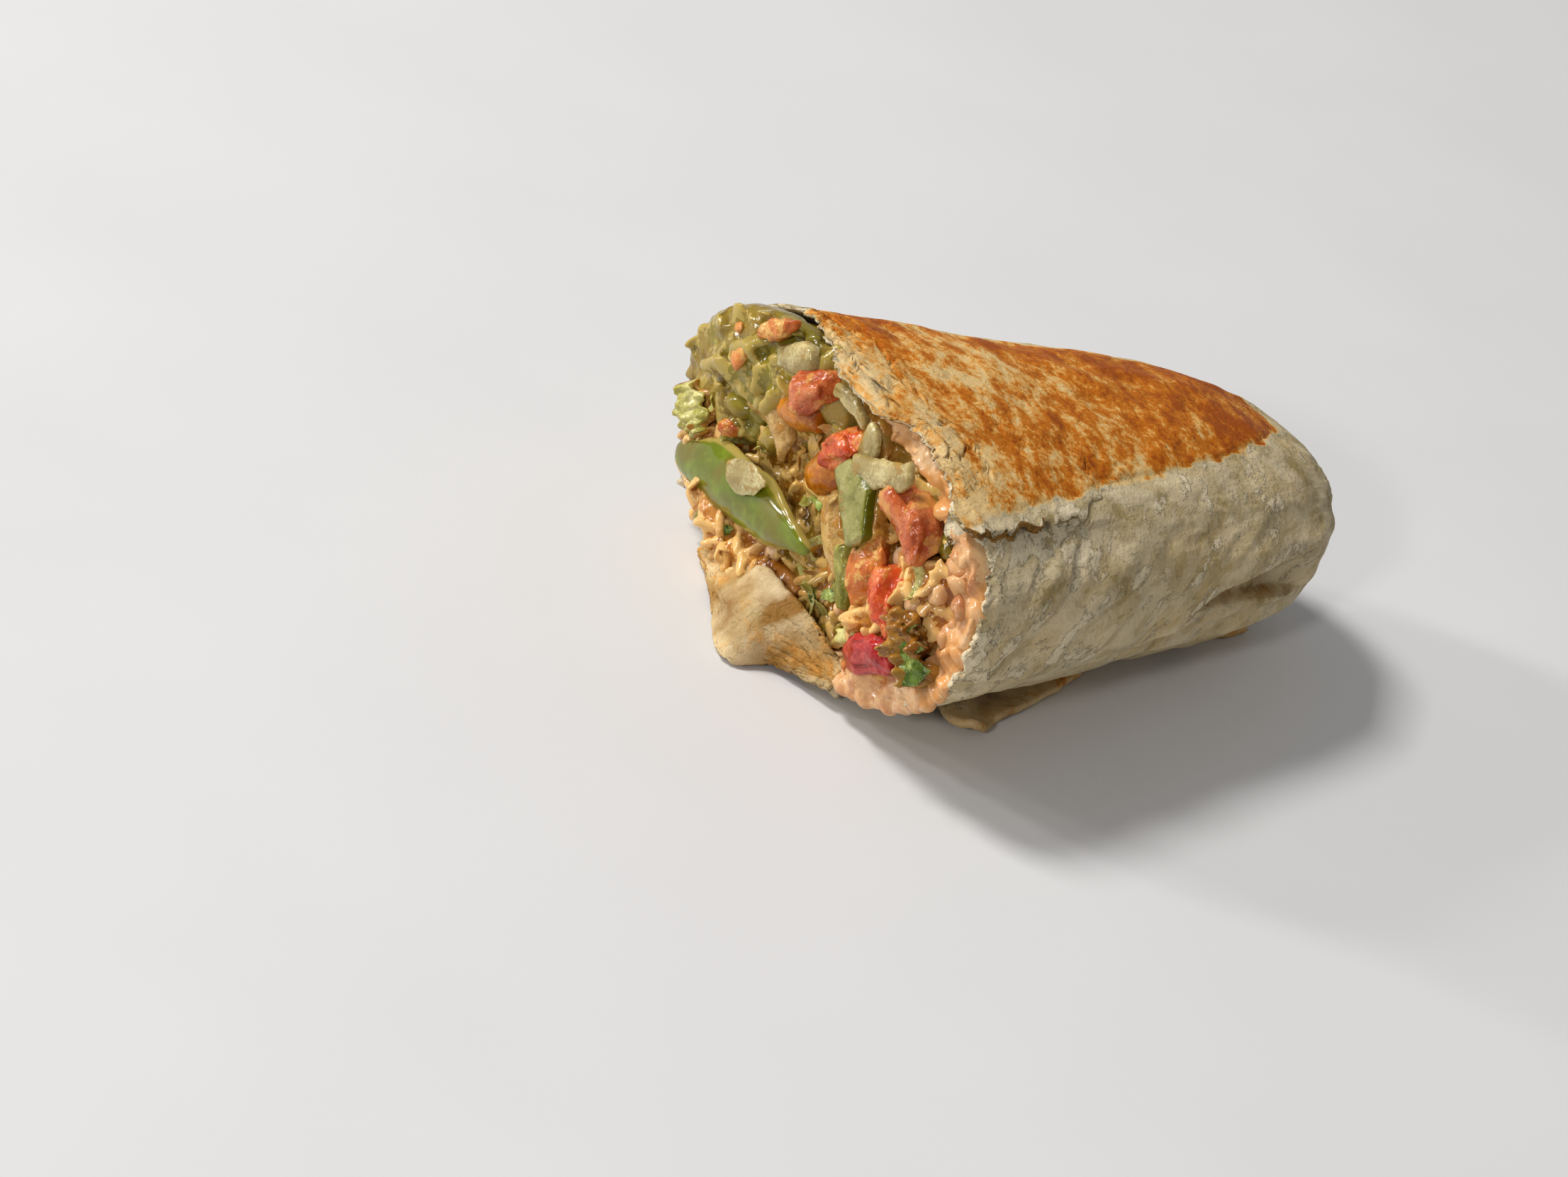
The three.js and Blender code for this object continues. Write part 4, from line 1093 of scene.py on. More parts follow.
@dataclass(frozen=True)
class Morsel:
    """One larger piece that stands in the cut.

    Args:
        node: the CAD node it stands for.
        cut: how it was cut.
        long, wide, deep: its size.
        across, up, out: its place over the cut.
        turn, swing: how it is turned in the cut and tipped out of it.
        finish: what it is made of.
    """

    node: str
    cut: Cut
    long: float
    wide: float
    deep: float
    across: float
    up: float
    out: float
    turn: float
    finish: WetFlesh
    swing: float = 0.0
    bow: float = 0.0
    cup: float = 0.0
    taper: float = 0.3
    worn: float = 0.62
    rough: float = 0.5
    seed: float = 1.0
    ribs: float = 0.0
    crisp: float = 0.62
    lean: float = 0.0

    def build(self, form: RollForm) -> bpy.types.Object:
        """The piece, in its place."""
        made = self.placed(form).object(f"piece_{self.node}", merge=True)
        made.data.materials.append(self.finish.material())
        return made

    def placed(self, form: RollForm, grown: float = 0.0, sunk: float = 0.0) -> Shape:
        """The piece's shape in its place, or a grown and sunk copy that the mass round it takes up."""
        makers = {Cut.CHUNK: self.chunk, Cut.SLICE: self.slice, Cut.LEAF: self.leaf}
        shape = makers[self.cut]()
        size = np.array([self.deep, self.long, self.wide])
        swing = Matrix.Rotation(math.radians(self.swing), 3, "Z")
        turn = Matrix.Rotation(math.radians(self.turn), 3, "X") @ swing
        place = np.array([form.cut_x - self.out + sunk, self.across, self.up])
        shape.points = (shape.points * (1 + 2 * grown / size)) @ np.array(turn).T + place
        return shape

    def chunk(self) -> Shape:
        """A cut chunk with worn corners and a rough surface."""
        p, faces = ball(6)
        n = noise(p[:, 0] * 1.7 + self.seed, p[:, 1] * 1.7, p[:, 2] * 1.7)
        swell = 1 + self.rough * n / min(self.wide, self.deep)
        size = np.array([self.deep, self.long, self.wide]) / 2
        q = self.faceted(p) * size * swell[:, None]
        grown = rough_noise(q[:, 0] / 2.6 + self.seed, q[:, 1] / 2.6, q[:, 2] / 2.6, 5, 0.5)
        q = q + p * (0.5 * grown - 0.05)[:, None]
        marks = {"run": q[:, 1] * MM, "side": q[:, 2] * MM, "edge": 0 * grown, "tone": 0.5 + 0 * grown}
        return Shape(q, faces, marks)

    def faceted(self, p: Array) -> Array:
        """A unit ball's points moved onto a box with worn corners and a few slanting cuts."""
        box = np.sign(p) * np.abs(p) ** self.worn
        radius = np.linalg.norm(box, axis=1)
        ahead = box / radius[:, None]
        picks = np.random.default_rng(int(self.seed * 7) + 3)
        cuts = picks.normal(size=(9, 3))
        cuts /= np.linalg.norm(cuts, axis=1, keepdims=True)
        reach = picks.uniform(0.7, 1.08, 9) / np.maximum(ahead @ cuts.T, 0.05)
        return ahead * (radius**-16 + (reach**-16).sum(1))[:, None] ** (-1 / 16)

    def slice(self) -> Shape:
        """A curved slice: a rounded slab, tapered at both ends, bowed and cupped."""
        ragged = 0.1 * noise(0.0, self.seed, 0.0)

        def narrowing(s: Array) -> Array:
            """Half the width's share, ragged along its length."""
            even = (1 - self.taper * s * s) * (1 - self.lean * s)
            return even - ragged - 0.1 * noise(s * 2.5, self.seed, 0.0)

        return self.slab(narrowing, 0.0)

    def leaf(self) -> Shape:
        """A thin crinkled leaf with lobes."""
        return self.slab(lambda s: (1 - 0.5 * s * s) * (1 + 0.26 * np.sin(s * 9.5 + self.seed)), 1.7)

    def slab(self, narrowing: Callable[[Array], Array], wave: float) -> Shape:
        """A closed slab that follows the piece's length.

        Args:
            narrowing: half the width's share at each place from -1 to 1.
            wave: how far it waves out of its plane.

        Returns:
            The slab, long along Y and wide along Z.
        """
        s = np.sin(np.linspace(-np.pi / 2, np.pi / 2, 90))[:, None]
        round_it = ring(64)
        c, k = np.cos(round_it), np.sin(round_it)
        flat = np.sign(c) * np.abs(c) ** 0.5
        thick = np.sign(k) * np.abs(k) ** self.crisp
        cap = np.sqrt(np.clip(1 - np.clip((np.abs(s) - 0.86) / 0.14, 0, 1) ** 2.4, 0, 1))
        half = self.wide / 2 * narrowing(s) * cap**0.6
        across = flat * half
        r = across / (self.wide / 2)
        deep = self.deep / 2 * (1 - 0.25 * r * r) * cap
        x = -thick * deep + self.cup * (r * r + 0.7 * s * s)
        crinkle = 0.3 * wave * np.abs(np.sin(s * 9 + 3 * r * r))
        x = x + wave * rough_noise(s * 1.6 + self.seed, (r + 1) * 1.6, 1.2, 3) - crinkle
        y = s * self.long / 2
        z = across + self.bow * (1 - s * s)
        grown = rough_noise(x / 2.2 + self.seed, y / 2.2, z / 2.2, 4, 0.5)
        ridges = self.ribs * np.sin(across / 0.42 + 0.8 * noise(s * 3, self.seed, 2.0)) * np.abs(thick) ** 2
        x = x - thick * (0.07 * grown + ridges) * cap
        z = z + flat * (0.4 if self.crisp < 0.6 else 0.2) * rough_noise(y / 2.8, self.seed, flat, 4) * cap
        points = np.stack([x, y + 0 * x, z + 0 * x], -1)
        edge = np.clip(np.abs(flat) ** 6 * 1.2, 0, 1) * (np.abs(thick) < 0.93)
        faces = grid_faces(*points.shape[:2], True)
        return grid_shape(points, faces, run=y * MM, side=across * MM, edge=edge, tone=0.5)


MORSELS = (
    Morsel(
        "onion_flake", Cut.SLICE, 13, 6.6, 0.7, 15.5, 26.0, 6.1, 156, ONION, seed=3, crisp=0.4, taper=0.6,
        lean=0.25, ribs=0.06,
    ),
    Morsel(
        "green_pepper_strip", Cut.SLICE, 50, 14.5, 2.2, 19, 18.5, 4.4, 168, PEPPER_SKIN, swing=3, bow=-1.4,
        cup=2.6, taper=0.66, lean=0.2,
    ),
    Morsel(
        "green_pepper_slab", Cut.SLICE, 16, 8.5, 3.2, -11, 38, 2.6, 37, PEPPER_FLESH, bow=1.2, taper=0.3,
        seed=2, crisp=0.36, swing=-8,
    ),
    Morsel("tomato_red", Cut.CHUNK, 13, 8.5, 8, -28, 28, 1.6, 60, TOMATO, rough=1.6, seed=4, worn=0.5),
    Morsel(
        "tomato_orange", Cut.CHUNK, 17, 8.5, 7, -20, 29, 0.6, 66, ORANGE_TOMATO, rough=2, seed=5, worn=0.55,
    ),
    Morsel("red_pepper", Cut.CHUNK, 17, 8, 6, -28.5, 17.5, 2.6, 146, CRIMSON, rough=0.4, worn=0.36, seed=6),
    Morsel(
        "tomato_speckled", Cut.CHUNK, 16, 8.5, 7, -26, 43.5, 0.2, 22, PINK_TOMATO, rough=1.8, seed=8,
        worn=0.55,
    ),
    Morsel(
        "onion_bar", Cut.SLICE, 18, 5.4, 1.8, -15.5, 48.2, 2.4, 154, ONION, taper=0.3, seed=9, ribs=0.08,
        crisp=0.5, bow=0.8,
    ),
    Morsel("tomato_middle", Cut.CHUNK, 13, 7.5, 7, -1, 43, 0.2, 128, TOMATO, rough=1.8, seed=11, worn=0.5),
    Morsel(
        "tomato_upper", Cut.CHUNK, 10.5, 8, 7, 11, 47.5, 1.2, 145, PINK_TOMATO, rough=0.8, seed=12,
        worn=0.42,
    ),
    Morsel("orange_pepper", Cut.SLICE, 13, 7, 3, 14, 41, 0.6, 159, AMBER, cup=1.4, seed=5, crisp=0.45),
    Morsel(
        "onion_white", Cut.SLICE, 11.5, 6.4, 2.4, 18, 50, 1.6, 147, ONION, taper=0.2, cup=0.8, seed=14,
        ribs=0.05, crisp=0.5,
    ),
    Morsel(
        "onion_curved", Cut.SLICE, 11.5, 4.4, 1.6, 1, 50.5, 0.0, 5, ONION, bow=1.2, seed=6, ribs=0.1,
        crisp=0.5, taper=0.5,
    ),
    Morsel(
        "onion_glassy", Cut.SLICE, 10, 5.6, 1.8, -7, 47.5, 0.6, 100, ONION, taper=0.3, seed=15, ribs=0.1,
        crisp=0.5, bow=1,
    ),
    Morsel("amber_pepper", Cut.SLICE, 10.5, 7.5, 2, 3, 35, 0.4, 136, AMBER, cup=1.6, seed=7, crisp=0.45),
    Morsel(
        "onion_arc", Cut.SLICE, 15, 8, 1.8, 21.5, 33, 0.8, 12, TAN_ONION, bow=4, cup=1.2, seed=8,
        crisp=0.45, ribs=0.15,
    ),
    Morsel(
        "onion_amber", Cut.SLICE, 10, 8, 2.2, 23, 42.5, 0.2, 175, TAN_ONION, seed=9, crisp=0.45, taper=0.5,
    ),
    Morsel(
        "cabbage_strip", Cut.SLICE, 16, 6.5, 1.4, -7.5, 28, 0.8, 44, TAN_ONION, bow=-2, cup=1, seed=10,
        crisp=0.4, ribs=0.15,
    ),
    Morsel(
        "celery_stalk", Cut.SLICE, 12, 4.2, 2.6, -13.5, 23.5, 1, 58, STALK, taper=0.2, seed=17, ribs=0.24,
        crisp=0.45,
    ),
    Morsel(
        "cucumber_piece", Cut.CHUNK, 12, 5.5, 5, -21.5, 16, 0.4, 140, LETTUCE, rough=1.4, seed=18, worn=0.5,
    ),
    Morsel("orange_slice", Cut.CHUNK, 10.5, 4, 4, 25, 52, 1.6, 138, ORANGE_TOMATO, seed=19, worn=0.5),
    Morsel("herb_leaf", Cut.LEAF, 14, 8.5, 0.6, -37.8, 25.5, 2.8, 50, HERB, seed=2, ribs=0.12),
    Morsel("lettuce_heart", Cut.LEAF, 11, 8.5, 1.4, 42.5, 23, 1.2, 38, LETTUCE, seed=5, ribs=0.15),
)


@dataclass(frozen=True)
class Bed:
    """One layer of filling that runs through the roll, with its rough face at the cut.

    Args:
        node: the CAD node it stands for.
        start, stop: the angles it takes of the section.
        inner, outer: the shares of depth it takes.
        bulge: how far its face stands out.
        rows: how its face swells across: 1 evenly, 2 in its middle.
        rough, seed: the face's coarse roughness, as in the CAD.
        finish: what it is made of.
    """

    node: str
    start: float
    stop: float
    inner: float
    outer: float
    bulge: float
    rows: int
    rough: float
    seed: float
    finish: WetFlesh
    sunk: tuple["Strewn", ...] = ()
    grain: float = 0.4
    face_depth: float = 1.6

    def face(self, form: RollForm, u: Array, v: Array) -> Array:
        """Places on the layer's face at shares round it and outwards."""
        degrees, depth = lerp(self.start, self.stop, u), lerp(self.inner, self.outer, v)
        points = form.inner(0 * (u + v), degrees, form.fit_gap, depth)
        across = np.sin(np.pi * v) if self.rows > 1 else 0.6
        out = self.bulge * np.sin(np.pi * u) ** 0.6 * across - self.face_depth
        y, z = points[..., 1], points[..., 2]
        coarse = self.rough * (noise(y / 5, z / 5, self.seed) + 0.5 * noise(y / 2.4, z / 2.4, self.seed + 5))
        fine = 0.7 * rough_noise(y / 1.9, z / 1.9, self.seed, 4)
        points[..., 0] += coarse - out + fine
        return points

    def shape(self, form: RollForm) -> Shape:
        """The whole layer, closed at its ends."""
        u, face = self.face_grid(form)
        degrees = lerp(self.start, self.stop, u)
        back = [0.88, 0.7, 0.5, 0.3, 0.1]
        inside = [form.inner(t + 0 * u, degrees, form.fit_gap, self.inner) for t in back]
        drawn = [(t, self.outer * (1 - 0.16 * t)) for t in back[::-1]]
        outside = [form.inner(t + 0 * u, degrees, form.fit_gap, depth) for t, depth in drawn]
        points = np.concatenate(inside + [face] + outside, 1)
        return grid_shape(points, closed_faces(*points.shape[:2]), tone=0.5, chip=0.0)

    def face_grid(self, form: RollForm) -> tuple[Array, Array]:
        """The shares round the layer, as a column, and its face's places on a close grid."""
        u = eased(int((self.stop - self.start) * 1.5), 0.1)[:, None]
        return u, self.face(form, u, eased(int(20 + 60 * (self.outer - self.inner)), 0.1)[None, :])

    def front(self, form: RollForm) -> Shape:
        """The layer's first few millimetres, closed, with its face at the cut."""
        _, face = self.face_grid(form)
        behind = face[:, ::-1].copy()
        behind[..., 0] = form.cut_x + BED_FRONT
        points = np.concatenate([face, behind], 1)
        return grid_shape(points, closed_faces(*points.shape[:2]), tone=0.5)

    def build(self, form: RollForm) -> bpy.types.Object:
        """The layer as a piece: its core, and its front fused with what is sunk into it."""
        core = self.shape(form)
        core.points[:, 0] = np.maximum(core.points[:, 0], form.cut_x + CORE_START)
        front = self.front(form)
        swells = {"guacamole": [swell_shape], "refried_beans": [lip_shape]}
        parts = [front] + [make(form) for make in swells.get(self.node, [])]
        marks = {f"strew_{t.name}": 1.0 for t in self.sunk}
        ground = face_ground(self.face(form, *share_grid(100, 30)), marks)
        if self.node == "guacamole":
            ground = Shape.joined([ground, face_ground(swell_sheet(form), marks)])
        skin = fused(parts, [strewn.shape(ground) for strewn in self.sunk], self.grain)
        if self.node == "guacamole":
            skin.points = form.held(skin.points)
        made = Shape.joined([core.quads(), skin]).object(f"bed_{self.node}", merge=True)
        turn_outwards(made)
        made.data.materials.append(self.finish.material())
        return made


def share_grid(rows: int, columns: int) -> tuple[Array, Array]:
    """Shares from 0 to 1 down a column and along a row, a little inside the edges."""
    return np.linspace(0.03, 0.97, rows)[:, None], np.linspace(0.05, 0.95, columns)[None, :]


def face_ground(points: Array, marks: dict[str, Array | float]) -> Shape:
    """A face of the filling as a sheet that looks out of the cut, to strew things on."""
    faces = grid_faces(*points.shape[:2])
    a, b, c = (points.reshape(-1, 3)[faces[:, n]] for n in range(3))
    if np.cross(b - a, c - a)[:, 0].sum() > 0:
        faces = faces[:, ::-1]
    return grid_shape(points, faces, **marks)


def fused(bodies: Sequence[Shape], sunk: Sequence[Shape], grain: float) -> Shape:
    """Overlapping bodies fused into one soft skin.

    Args:
        bodies: the mass itself.
        sunk: what is sunk into it, which leaves its own mark on the skin.
        grain: the skin's cell size in millimetres.

    Returns:
        The skin, with the tone and chip of whatever lies nearest below it.
    """
    parts = [*bodies, *sunk]
    chips = [0.0] * len(bodies) + [1.0] * len(sunk)
    joined = Shape.joined([Shape(p.points, p.quads().faces, {"tone": p.marks["tone"]}) for p in parts])
    source = joined.object("to_fuse", merge=True)
    turn_outwards(source)
    remesh = source.modifiers.new("fuse", "REMESH")
    remesh.mode = "VOXEL"
    remesh.voxel_size = grain * MM
    soften = source.modifiers.new("soften", "SMOOTH")
    soften.factor = 0.5
    soften.iterations = SKIN_PASSES
    graph = bpy.context.evaluated_depsgraph_get()
    mesh = bpy.data.meshes.new_from_object(source.evaluated_get(graph), depsgraph=graph)
    points = places(mesh) / MM
    faces = np.array([list(f.vertices) for f in mesh.polygons])
    tree = KDTree(len(joined.points))
    for n, point in enumerate(joined.points):
        tree.insert(point, n)
    tree.balance()
    nearest = np.array([tree.find(point)[1] for point in points])
    chip = np.concatenate([np.full(len(p.points), c) for p, c in zip(parts, chips)])
    bpy.data.objects.remove(source)
    bpy.data.meshes.remove(mesh)
    return Shape(points.astype(float), faces, {"tone": joined.marks["tone"][nearest], "chip": chip[nearest]})


def swell_shape(form: RollForm) -> Shape:
    """The guacamole that swells over the rim where the tortilla is torn away."""
    u = eased(150, 0.2)[:, None]
    ends = np.sin(np.pi * u) ** 0.5
    across, out = np.cos(ring(72)), np.sin(ring(72))
    v = 0.5 + 0.5 * np.sign(across) * np.abs(across) ** 0.7
    w = 0.5 + 0.5 * np.sign(out) * np.abs(out) ** 0.7
    y, z = form.section(0 * (u + v), lerp(*SWELL, u), 0.5, lerp(0.72, 1, v))
    middle = form.widest_share * form.cut_height
    grown = 0.8 * noise(y / 4, z / 4, w * 3) + 0.7 * rough_noise(y / 2.4, z / 2.4, w * 4, 4)
    x = form.cut_x + lerp(-3.2 * ends + 1, 2 + 6.6 * ends, w) + grown * (1 - w)
    shrunk = 1 - 0.06 * (2 * w - 0.8) ** 2 * v - 0.012 * (1 + rough_noise(y / 3, x / 3, z / 3, 4)) * w
    points = np.stack([x, y * shrunk, middle + (z - middle) * shrunk - 0.6], -1)
    tone = 0.5 + 0.3 * noise(points[..., 1] / 6, points[..., 2] / 6, 4.0)
    return grid_shape(points, closed_faces(*points.shape[:2]), tone=tone)


def lip_shape(form: RollForm) -> Shape:
    """The ruffle of bean paste squeezed out over the rim at the foot of the cut."""
    u = np.linspace(0, 1, 110)[:, None]
    across, out = np.cos(ring(20)), np.sin(ring(20))
    degrees = lerp(*LIP, u)
    path = form.outer(0 * u, degrees, -2.2 + 1.6 * np.sin(np.pi * u))[:, 0]
    path[:, 0] += 0.9 * noise(u[:, 0] * 14, 1.0, 0.0) - 0.3
    away = (1.1 + 0.9 * rough_noise(u * 15, 2.0, 0.0, 3)) * np.sin(np.pi * np.clip(u, 0.01, 0.99)) ** 0.4
    away = np.maximum(0.9, away)
    outward = np.stack([0 * degrees, np.cos(np.radians(degrees)), np.sin(np.radians(degrees))], -1)
    reach = np.where(out > 0, 0.9, 2.8)
    points = path[:, None, :] + outward * (out * away * reach)[..., None]
    points[..., 0] += across * away
    points[..., 2] = np.maximum(0.3, points[..., 2])
    return grid_shape(points, closed_faces(*points.shape[:2]), tone=0.5)


def swell_sheet(form: RollForm) -> Array:
    """The front and the outside of that swell, to strew things on."""
    u = np.linspace(0.05, 0.95, 90)[:, None]
    run = np.linspace(0, 1, 26)[None, :]
    v, w = 0.1 + 0.85 * np.minimum(1, run / 0.75), 0.3 * np.maximum(0, run - 0.75) / 0.25
    y, z = form.section(0 * (u + v), lerp(*SWELL, u), 0.9, lerp(0.72, 1, v))
    x = form.cut_x + lerp(-2.4 * np.sin(np.pi * u) ** 0.5 + 1, 6, w)
    return np.stack([x + 0 * y, y, z - 0.6], -1)


def turn_outwards(made: bpy.types.Object) -> None:
    """Turns a closed mesh's faces outwards."""
    work = bmesh.new()
    work.from_mesh(made.data)
    bmesh.ops.recalc_face_normals(work, faces=work.faces)
    work.to_mesh(made.data)
    work.free()


@dataclass(frozen=True)
class Strewn:
    """Small things strewn over faces of the filling with Geometry Nodes.

    Args:
        name: the piece's name.
        things: shapes to pick from, in millimetres about their own middle.
        finish: what they are made of.
        spacing: least distance between two, in millimetres.
        density: most of them for each square metre.
        smallest, largest: their scale.
        tilt: how far they may tip out of the face, in degrees.
        proud: how far their middles stand over the face, in millimetres.
        seed: the random seed.
    """

    name: str
    things: tuple[Shape, ...]
    finish: WetFlesh
    spacing: float
    density: float
    smallest: float
    largest: float
    tilt: float
    proud: float
    seed: int

    def tree(self, stock: bpy.types.Collection, finish: bpy.types.Material) -> bpy.types.NodeTree:
        """The node tree that strews the stock over the faces it is given."""
        made = bpy.data.node_groups.new(self.name, "GeometryNodeTree")
        for way in ("INPUT", "OUTPUT"):
            made.interface.new_socket("Geometry", in_out=way, socket_type="NodeSocketGeometry")
        node = NodeBook(made).node
        ground = node("NodeGroupInput", {}, {}, "Geometry")
        mark = {"Name": f"strew_{self.name}"}
        share = node("GeometryNodeInputNamedAttribute", {"data_type": "FLOAT"}, mark, "Attribute")
        spread = node(
            "GeometryNodeDistributePointsOnFaces",
            {"distribute_method": "POISSON"},
            {
                "Mesh": ground, "Distance Min": self.spacing * MM, "Density Max": self.density,
                "Density Factor": share, "Seed": self.seed,
            },
            "Points",
        )
        lift = node(
            "ShaderNodeVectorMath",
            {"operation": "SCALE"},
            {"Vector": spread.twin("Normal"), "Scale": self.proud * MM},
            "Vector",
        )
        moved = node("GeometryNodeSetPosition", {}, {"Geometry": spread, "Offset": lift})
        tilt = math.radians(self.tilt)
        tip = node(
            "FunctionNodeRandomValue",
            {"data_type": "FLOAT_VECTOR"},
            {0: (-tilt, -tilt, 0), 1: (tilt, tilt, 2 * math.pi), "Seed": self.seed},
        )
        tipped = node("FunctionNodeEulerToRotation", {}, {0: tip})
        turned = node(
            "FunctionNodeRotateRotation", {"rotation_space": "LOCAL"}, {0: spread.twin("Rotation"), 1: tipped}
        )
        size = node("FunctionNodeRandomValue", {"data_type": "FLOAT"}, {2: self.smallest, 3: self.largest}, 1)
        apart = {"Separate Children": True, "Reset Children": True}
        shelf = node("GeometryNodeCollectionInfo", {}, {"Collection": stock, **apart})
        strewn = node(
            "GeometryNodeInstanceOnPoints",
            {},
            {"Pick Instance": True, "Points": moved, "Instance": shelf, "Rotation": turned, "Scale": size},
        )
        tone = node("FunctionNodeRandomValue", {"data_type": "FLOAT"}, {"Seed": self.seed + 9}, 1)
        kept = node(
            "GeometryNodeStoreNamedAttribute",
            {"data_type": "FLOAT", "domain": "INSTANCE"},
            {"Name": "tone", "Geometry": strewn, "Value": tone},
        )
        real = node("GeometryNodeRealizeInstances", {}, {"Geometry": kept})
        dressed = node("GeometryNodeSetMaterial", {}, {"Material": finish, "Geometry": real})
        made.links.new(dressed.output, made.nodes.new("NodeGroupOutput").inputs["Geometry"])
        return made

    def shape(self, ground: Shape) -> Shape:
        """What would be strewn over a ground, as a shape with its tone."""
        below = ground.object(f"ground_{self.name}")
        made = self.build(below)
        mesh = made.data
        points = places(mesh).astype(float) / MM
        tone = np.empty(len(mesh.vertices), np.float32)
        mesh.attributes["tone"].data.foreach_get("value", tone)
        faces = np.array([(list(f.vertices) + [f.vertices[-1]])[:4] for f in mesh.polygons])
        bpy.data.objects.remove(made)
        bpy.data.objects.remove(below)
        return Shape(points, faces, {"tone": tone.astype(float)})

    def build(self, ground: bpy.types.Object) -> bpy.types.Object:
        """Strews the things over a mesh and returns them as one plain mesh."""
        stock = bpy.data.collections.new(f"stock_{self.name}")
        things = []
        for n, thing in enumerate(self.things):
            things.append(bpy.data.objects.new(f"thing_{self.name}_{n}", thing.mesh(f"{self.name}_{n}")))
            stock.objects.link(things[n])
        modifier = ground.modifiers.new(self.name, "NODES")
        modifier.node_group = self.tree(stock, self.finish.material())
        graph = bpy.context.evaluated_depsgraph_get()
        mesh = bpy.data.meshes.new_from_object(ground.evaluated_get(graph), depsgraph=graph)
        ground.modifiers.remove(modifier)
        mesh.name = self.name
        made = bpy.data.objects.new(self.name, mesh)
        bpy.context.scene.collection.objects.link(made)
        for thing in things:
            bpy.data.objects.remove(thing)
        bpy.data.collections.remove(stock)
        return made


def grain_shape(long: float, wide: float, seed: float) -> Shape:
    """A grain of rice: a plump spindle, a little bent."""
    s = np.array([-1, -0.82, -0.4, 0.1, 0.55, 0.86, 1.0])[:, None]
    across, out = np.cos(ring(8)), np.sin(ring(8))
    plump = np.sqrt(np.clip(1 - np.abs(s) ** 2.6, 0, 1)) * (1 + 0.1 * noise(s * 2, seed, 0.0))
    x = s * long / 2 + 0 * out
    y = across * plump * wide / 2 + 0.35 * (1 - s * s) * math.sin(seed * 3)
    z = out * plump * wide / 2 + 0.25 * (1 - s * s) * math.cos(seed * 5)
    return grid_shape(np.stack([x, y, z], -1), grid_faces(7, 8, True)[:, ::-1], run=x * MM, side=y * MM)


def shred_shape(long: float, wide: float, curl: float, seed: float) -> Shape:
    """A shred of leaf: a thin curled strip with a thicker middle."""
    s = np.linspace(-1, 1, 9)[:, None]
    r = np.linspace(-1, 1, 4)[None, :]
    bend = curl * s
    x = long / 2 * np.sin(bend) / max(abs(curl), 1e-3)
    z = long / 2 * (1 - np.cos(bend)) / max(abs(curl), 1e-3) + 0.6 * noise(s * 1.7, seed, 0.0)
    width = wide / 2 * (1 - 0.5 * s * s) * (1 + 0.3 * noise(s * 2.3, seed, 5.0))
    twist = 0.9 * noise(s * 1.1, seed, 3.0)
    y = width * r * np.cos(twist) + 1.6 * noise(s * 1.1, seed, 8.0)
    z = z + width * r * np.sin(twist)
    points = np.stack([x + 0 * r, y, z + 0 * r], -1)
    return sheet_shape(points, 0.75, {"run": x * MM + 0 * r, "side": r * wide / 2 * MM + 0 * s})


def crumb_shape(size: float, seed: float) -> Shape:
    """A small lump of paste or vegetable."""
    p, faces = ball(2)
    grown = 1 + 0.4 * noise(p[:, 0] * 1.4 + seed, p[:, 1] * 1.4, p[:, 2] * 1.4)
    q = p * grown[:, None] * np.array([1.25, 0.95, 0.75]) * size / 2
    return Shape(q, faces, {"run": q[:, 0] * MM, "side": q[:, 1] * MM})


def petal_shape(long: float, wide: float, seed: float) -> Shape:
    """A thick soft scrap of leaf or vegetable, bent a little, with a rounded outline."""
    s = np.sin(np.linspace(-1, 1, 9) * np.pi / 2)[:, None]
    across, out = np.cos(ring(14)), np.sin(ring(14))
    plump = np.sqrt(np.clip(1.02 - s**4, 0, 1))
    y = across * (wide / 2 * plump * (1 + 0.5 * noise(s * 2.6, seed, 0.0))) + 1.5 * noise(s * 1.3, seed, 6.0)
    z = out * 0.75 * plump + 0.7 * noise(s * 1.3, y / 3, seed) - 0.05 * y * y
    x = s * long / 2 + 0 * out
    return grid_shape(np.stack([x, y, z], -1), grid_faces(9, 14, True)[:, ::-1], run=x * MM, side=y * MM)


GRAINS = tuple(grain_shape(5.6 + 0.4 * n, 2.1 + 0.12 * (n % 3), n + 1.0) for n in range(5))
SHREDS = tuple(shred_shape(7 + 1.3 * n, 2.4 + 0.5 * (n % 3), 0.5 + 0.2 * n, n + 1.0) for n in range(6))
RIBBONS = tuple(shred_shape(9 + 1.5 * n, 4.6 + 0.8 * (n % 3), 0.4 + 0.16 * n, n + 8.0) for n in range(5))
PETALS = tuple(petal_shape(6 + 1.2 * n, 3.6 + 0.7 * (n % 3), n + 3.0) for n in range(5))
LEAVES = tuple(petal_shape(6.5 + 0.9 * n, 2.8 + 1.1 * (n % 3), n + 13.0) for n in range(6))
CRUMBS = tuple(crumb_shape(3.6 + 0.6 * n, n + 1.0) for n in range(5))
BITS = tuple(shred_shape(3.5 + 0.7 * n, 2.4, 0.9, n + 20.0) for n in range(4))

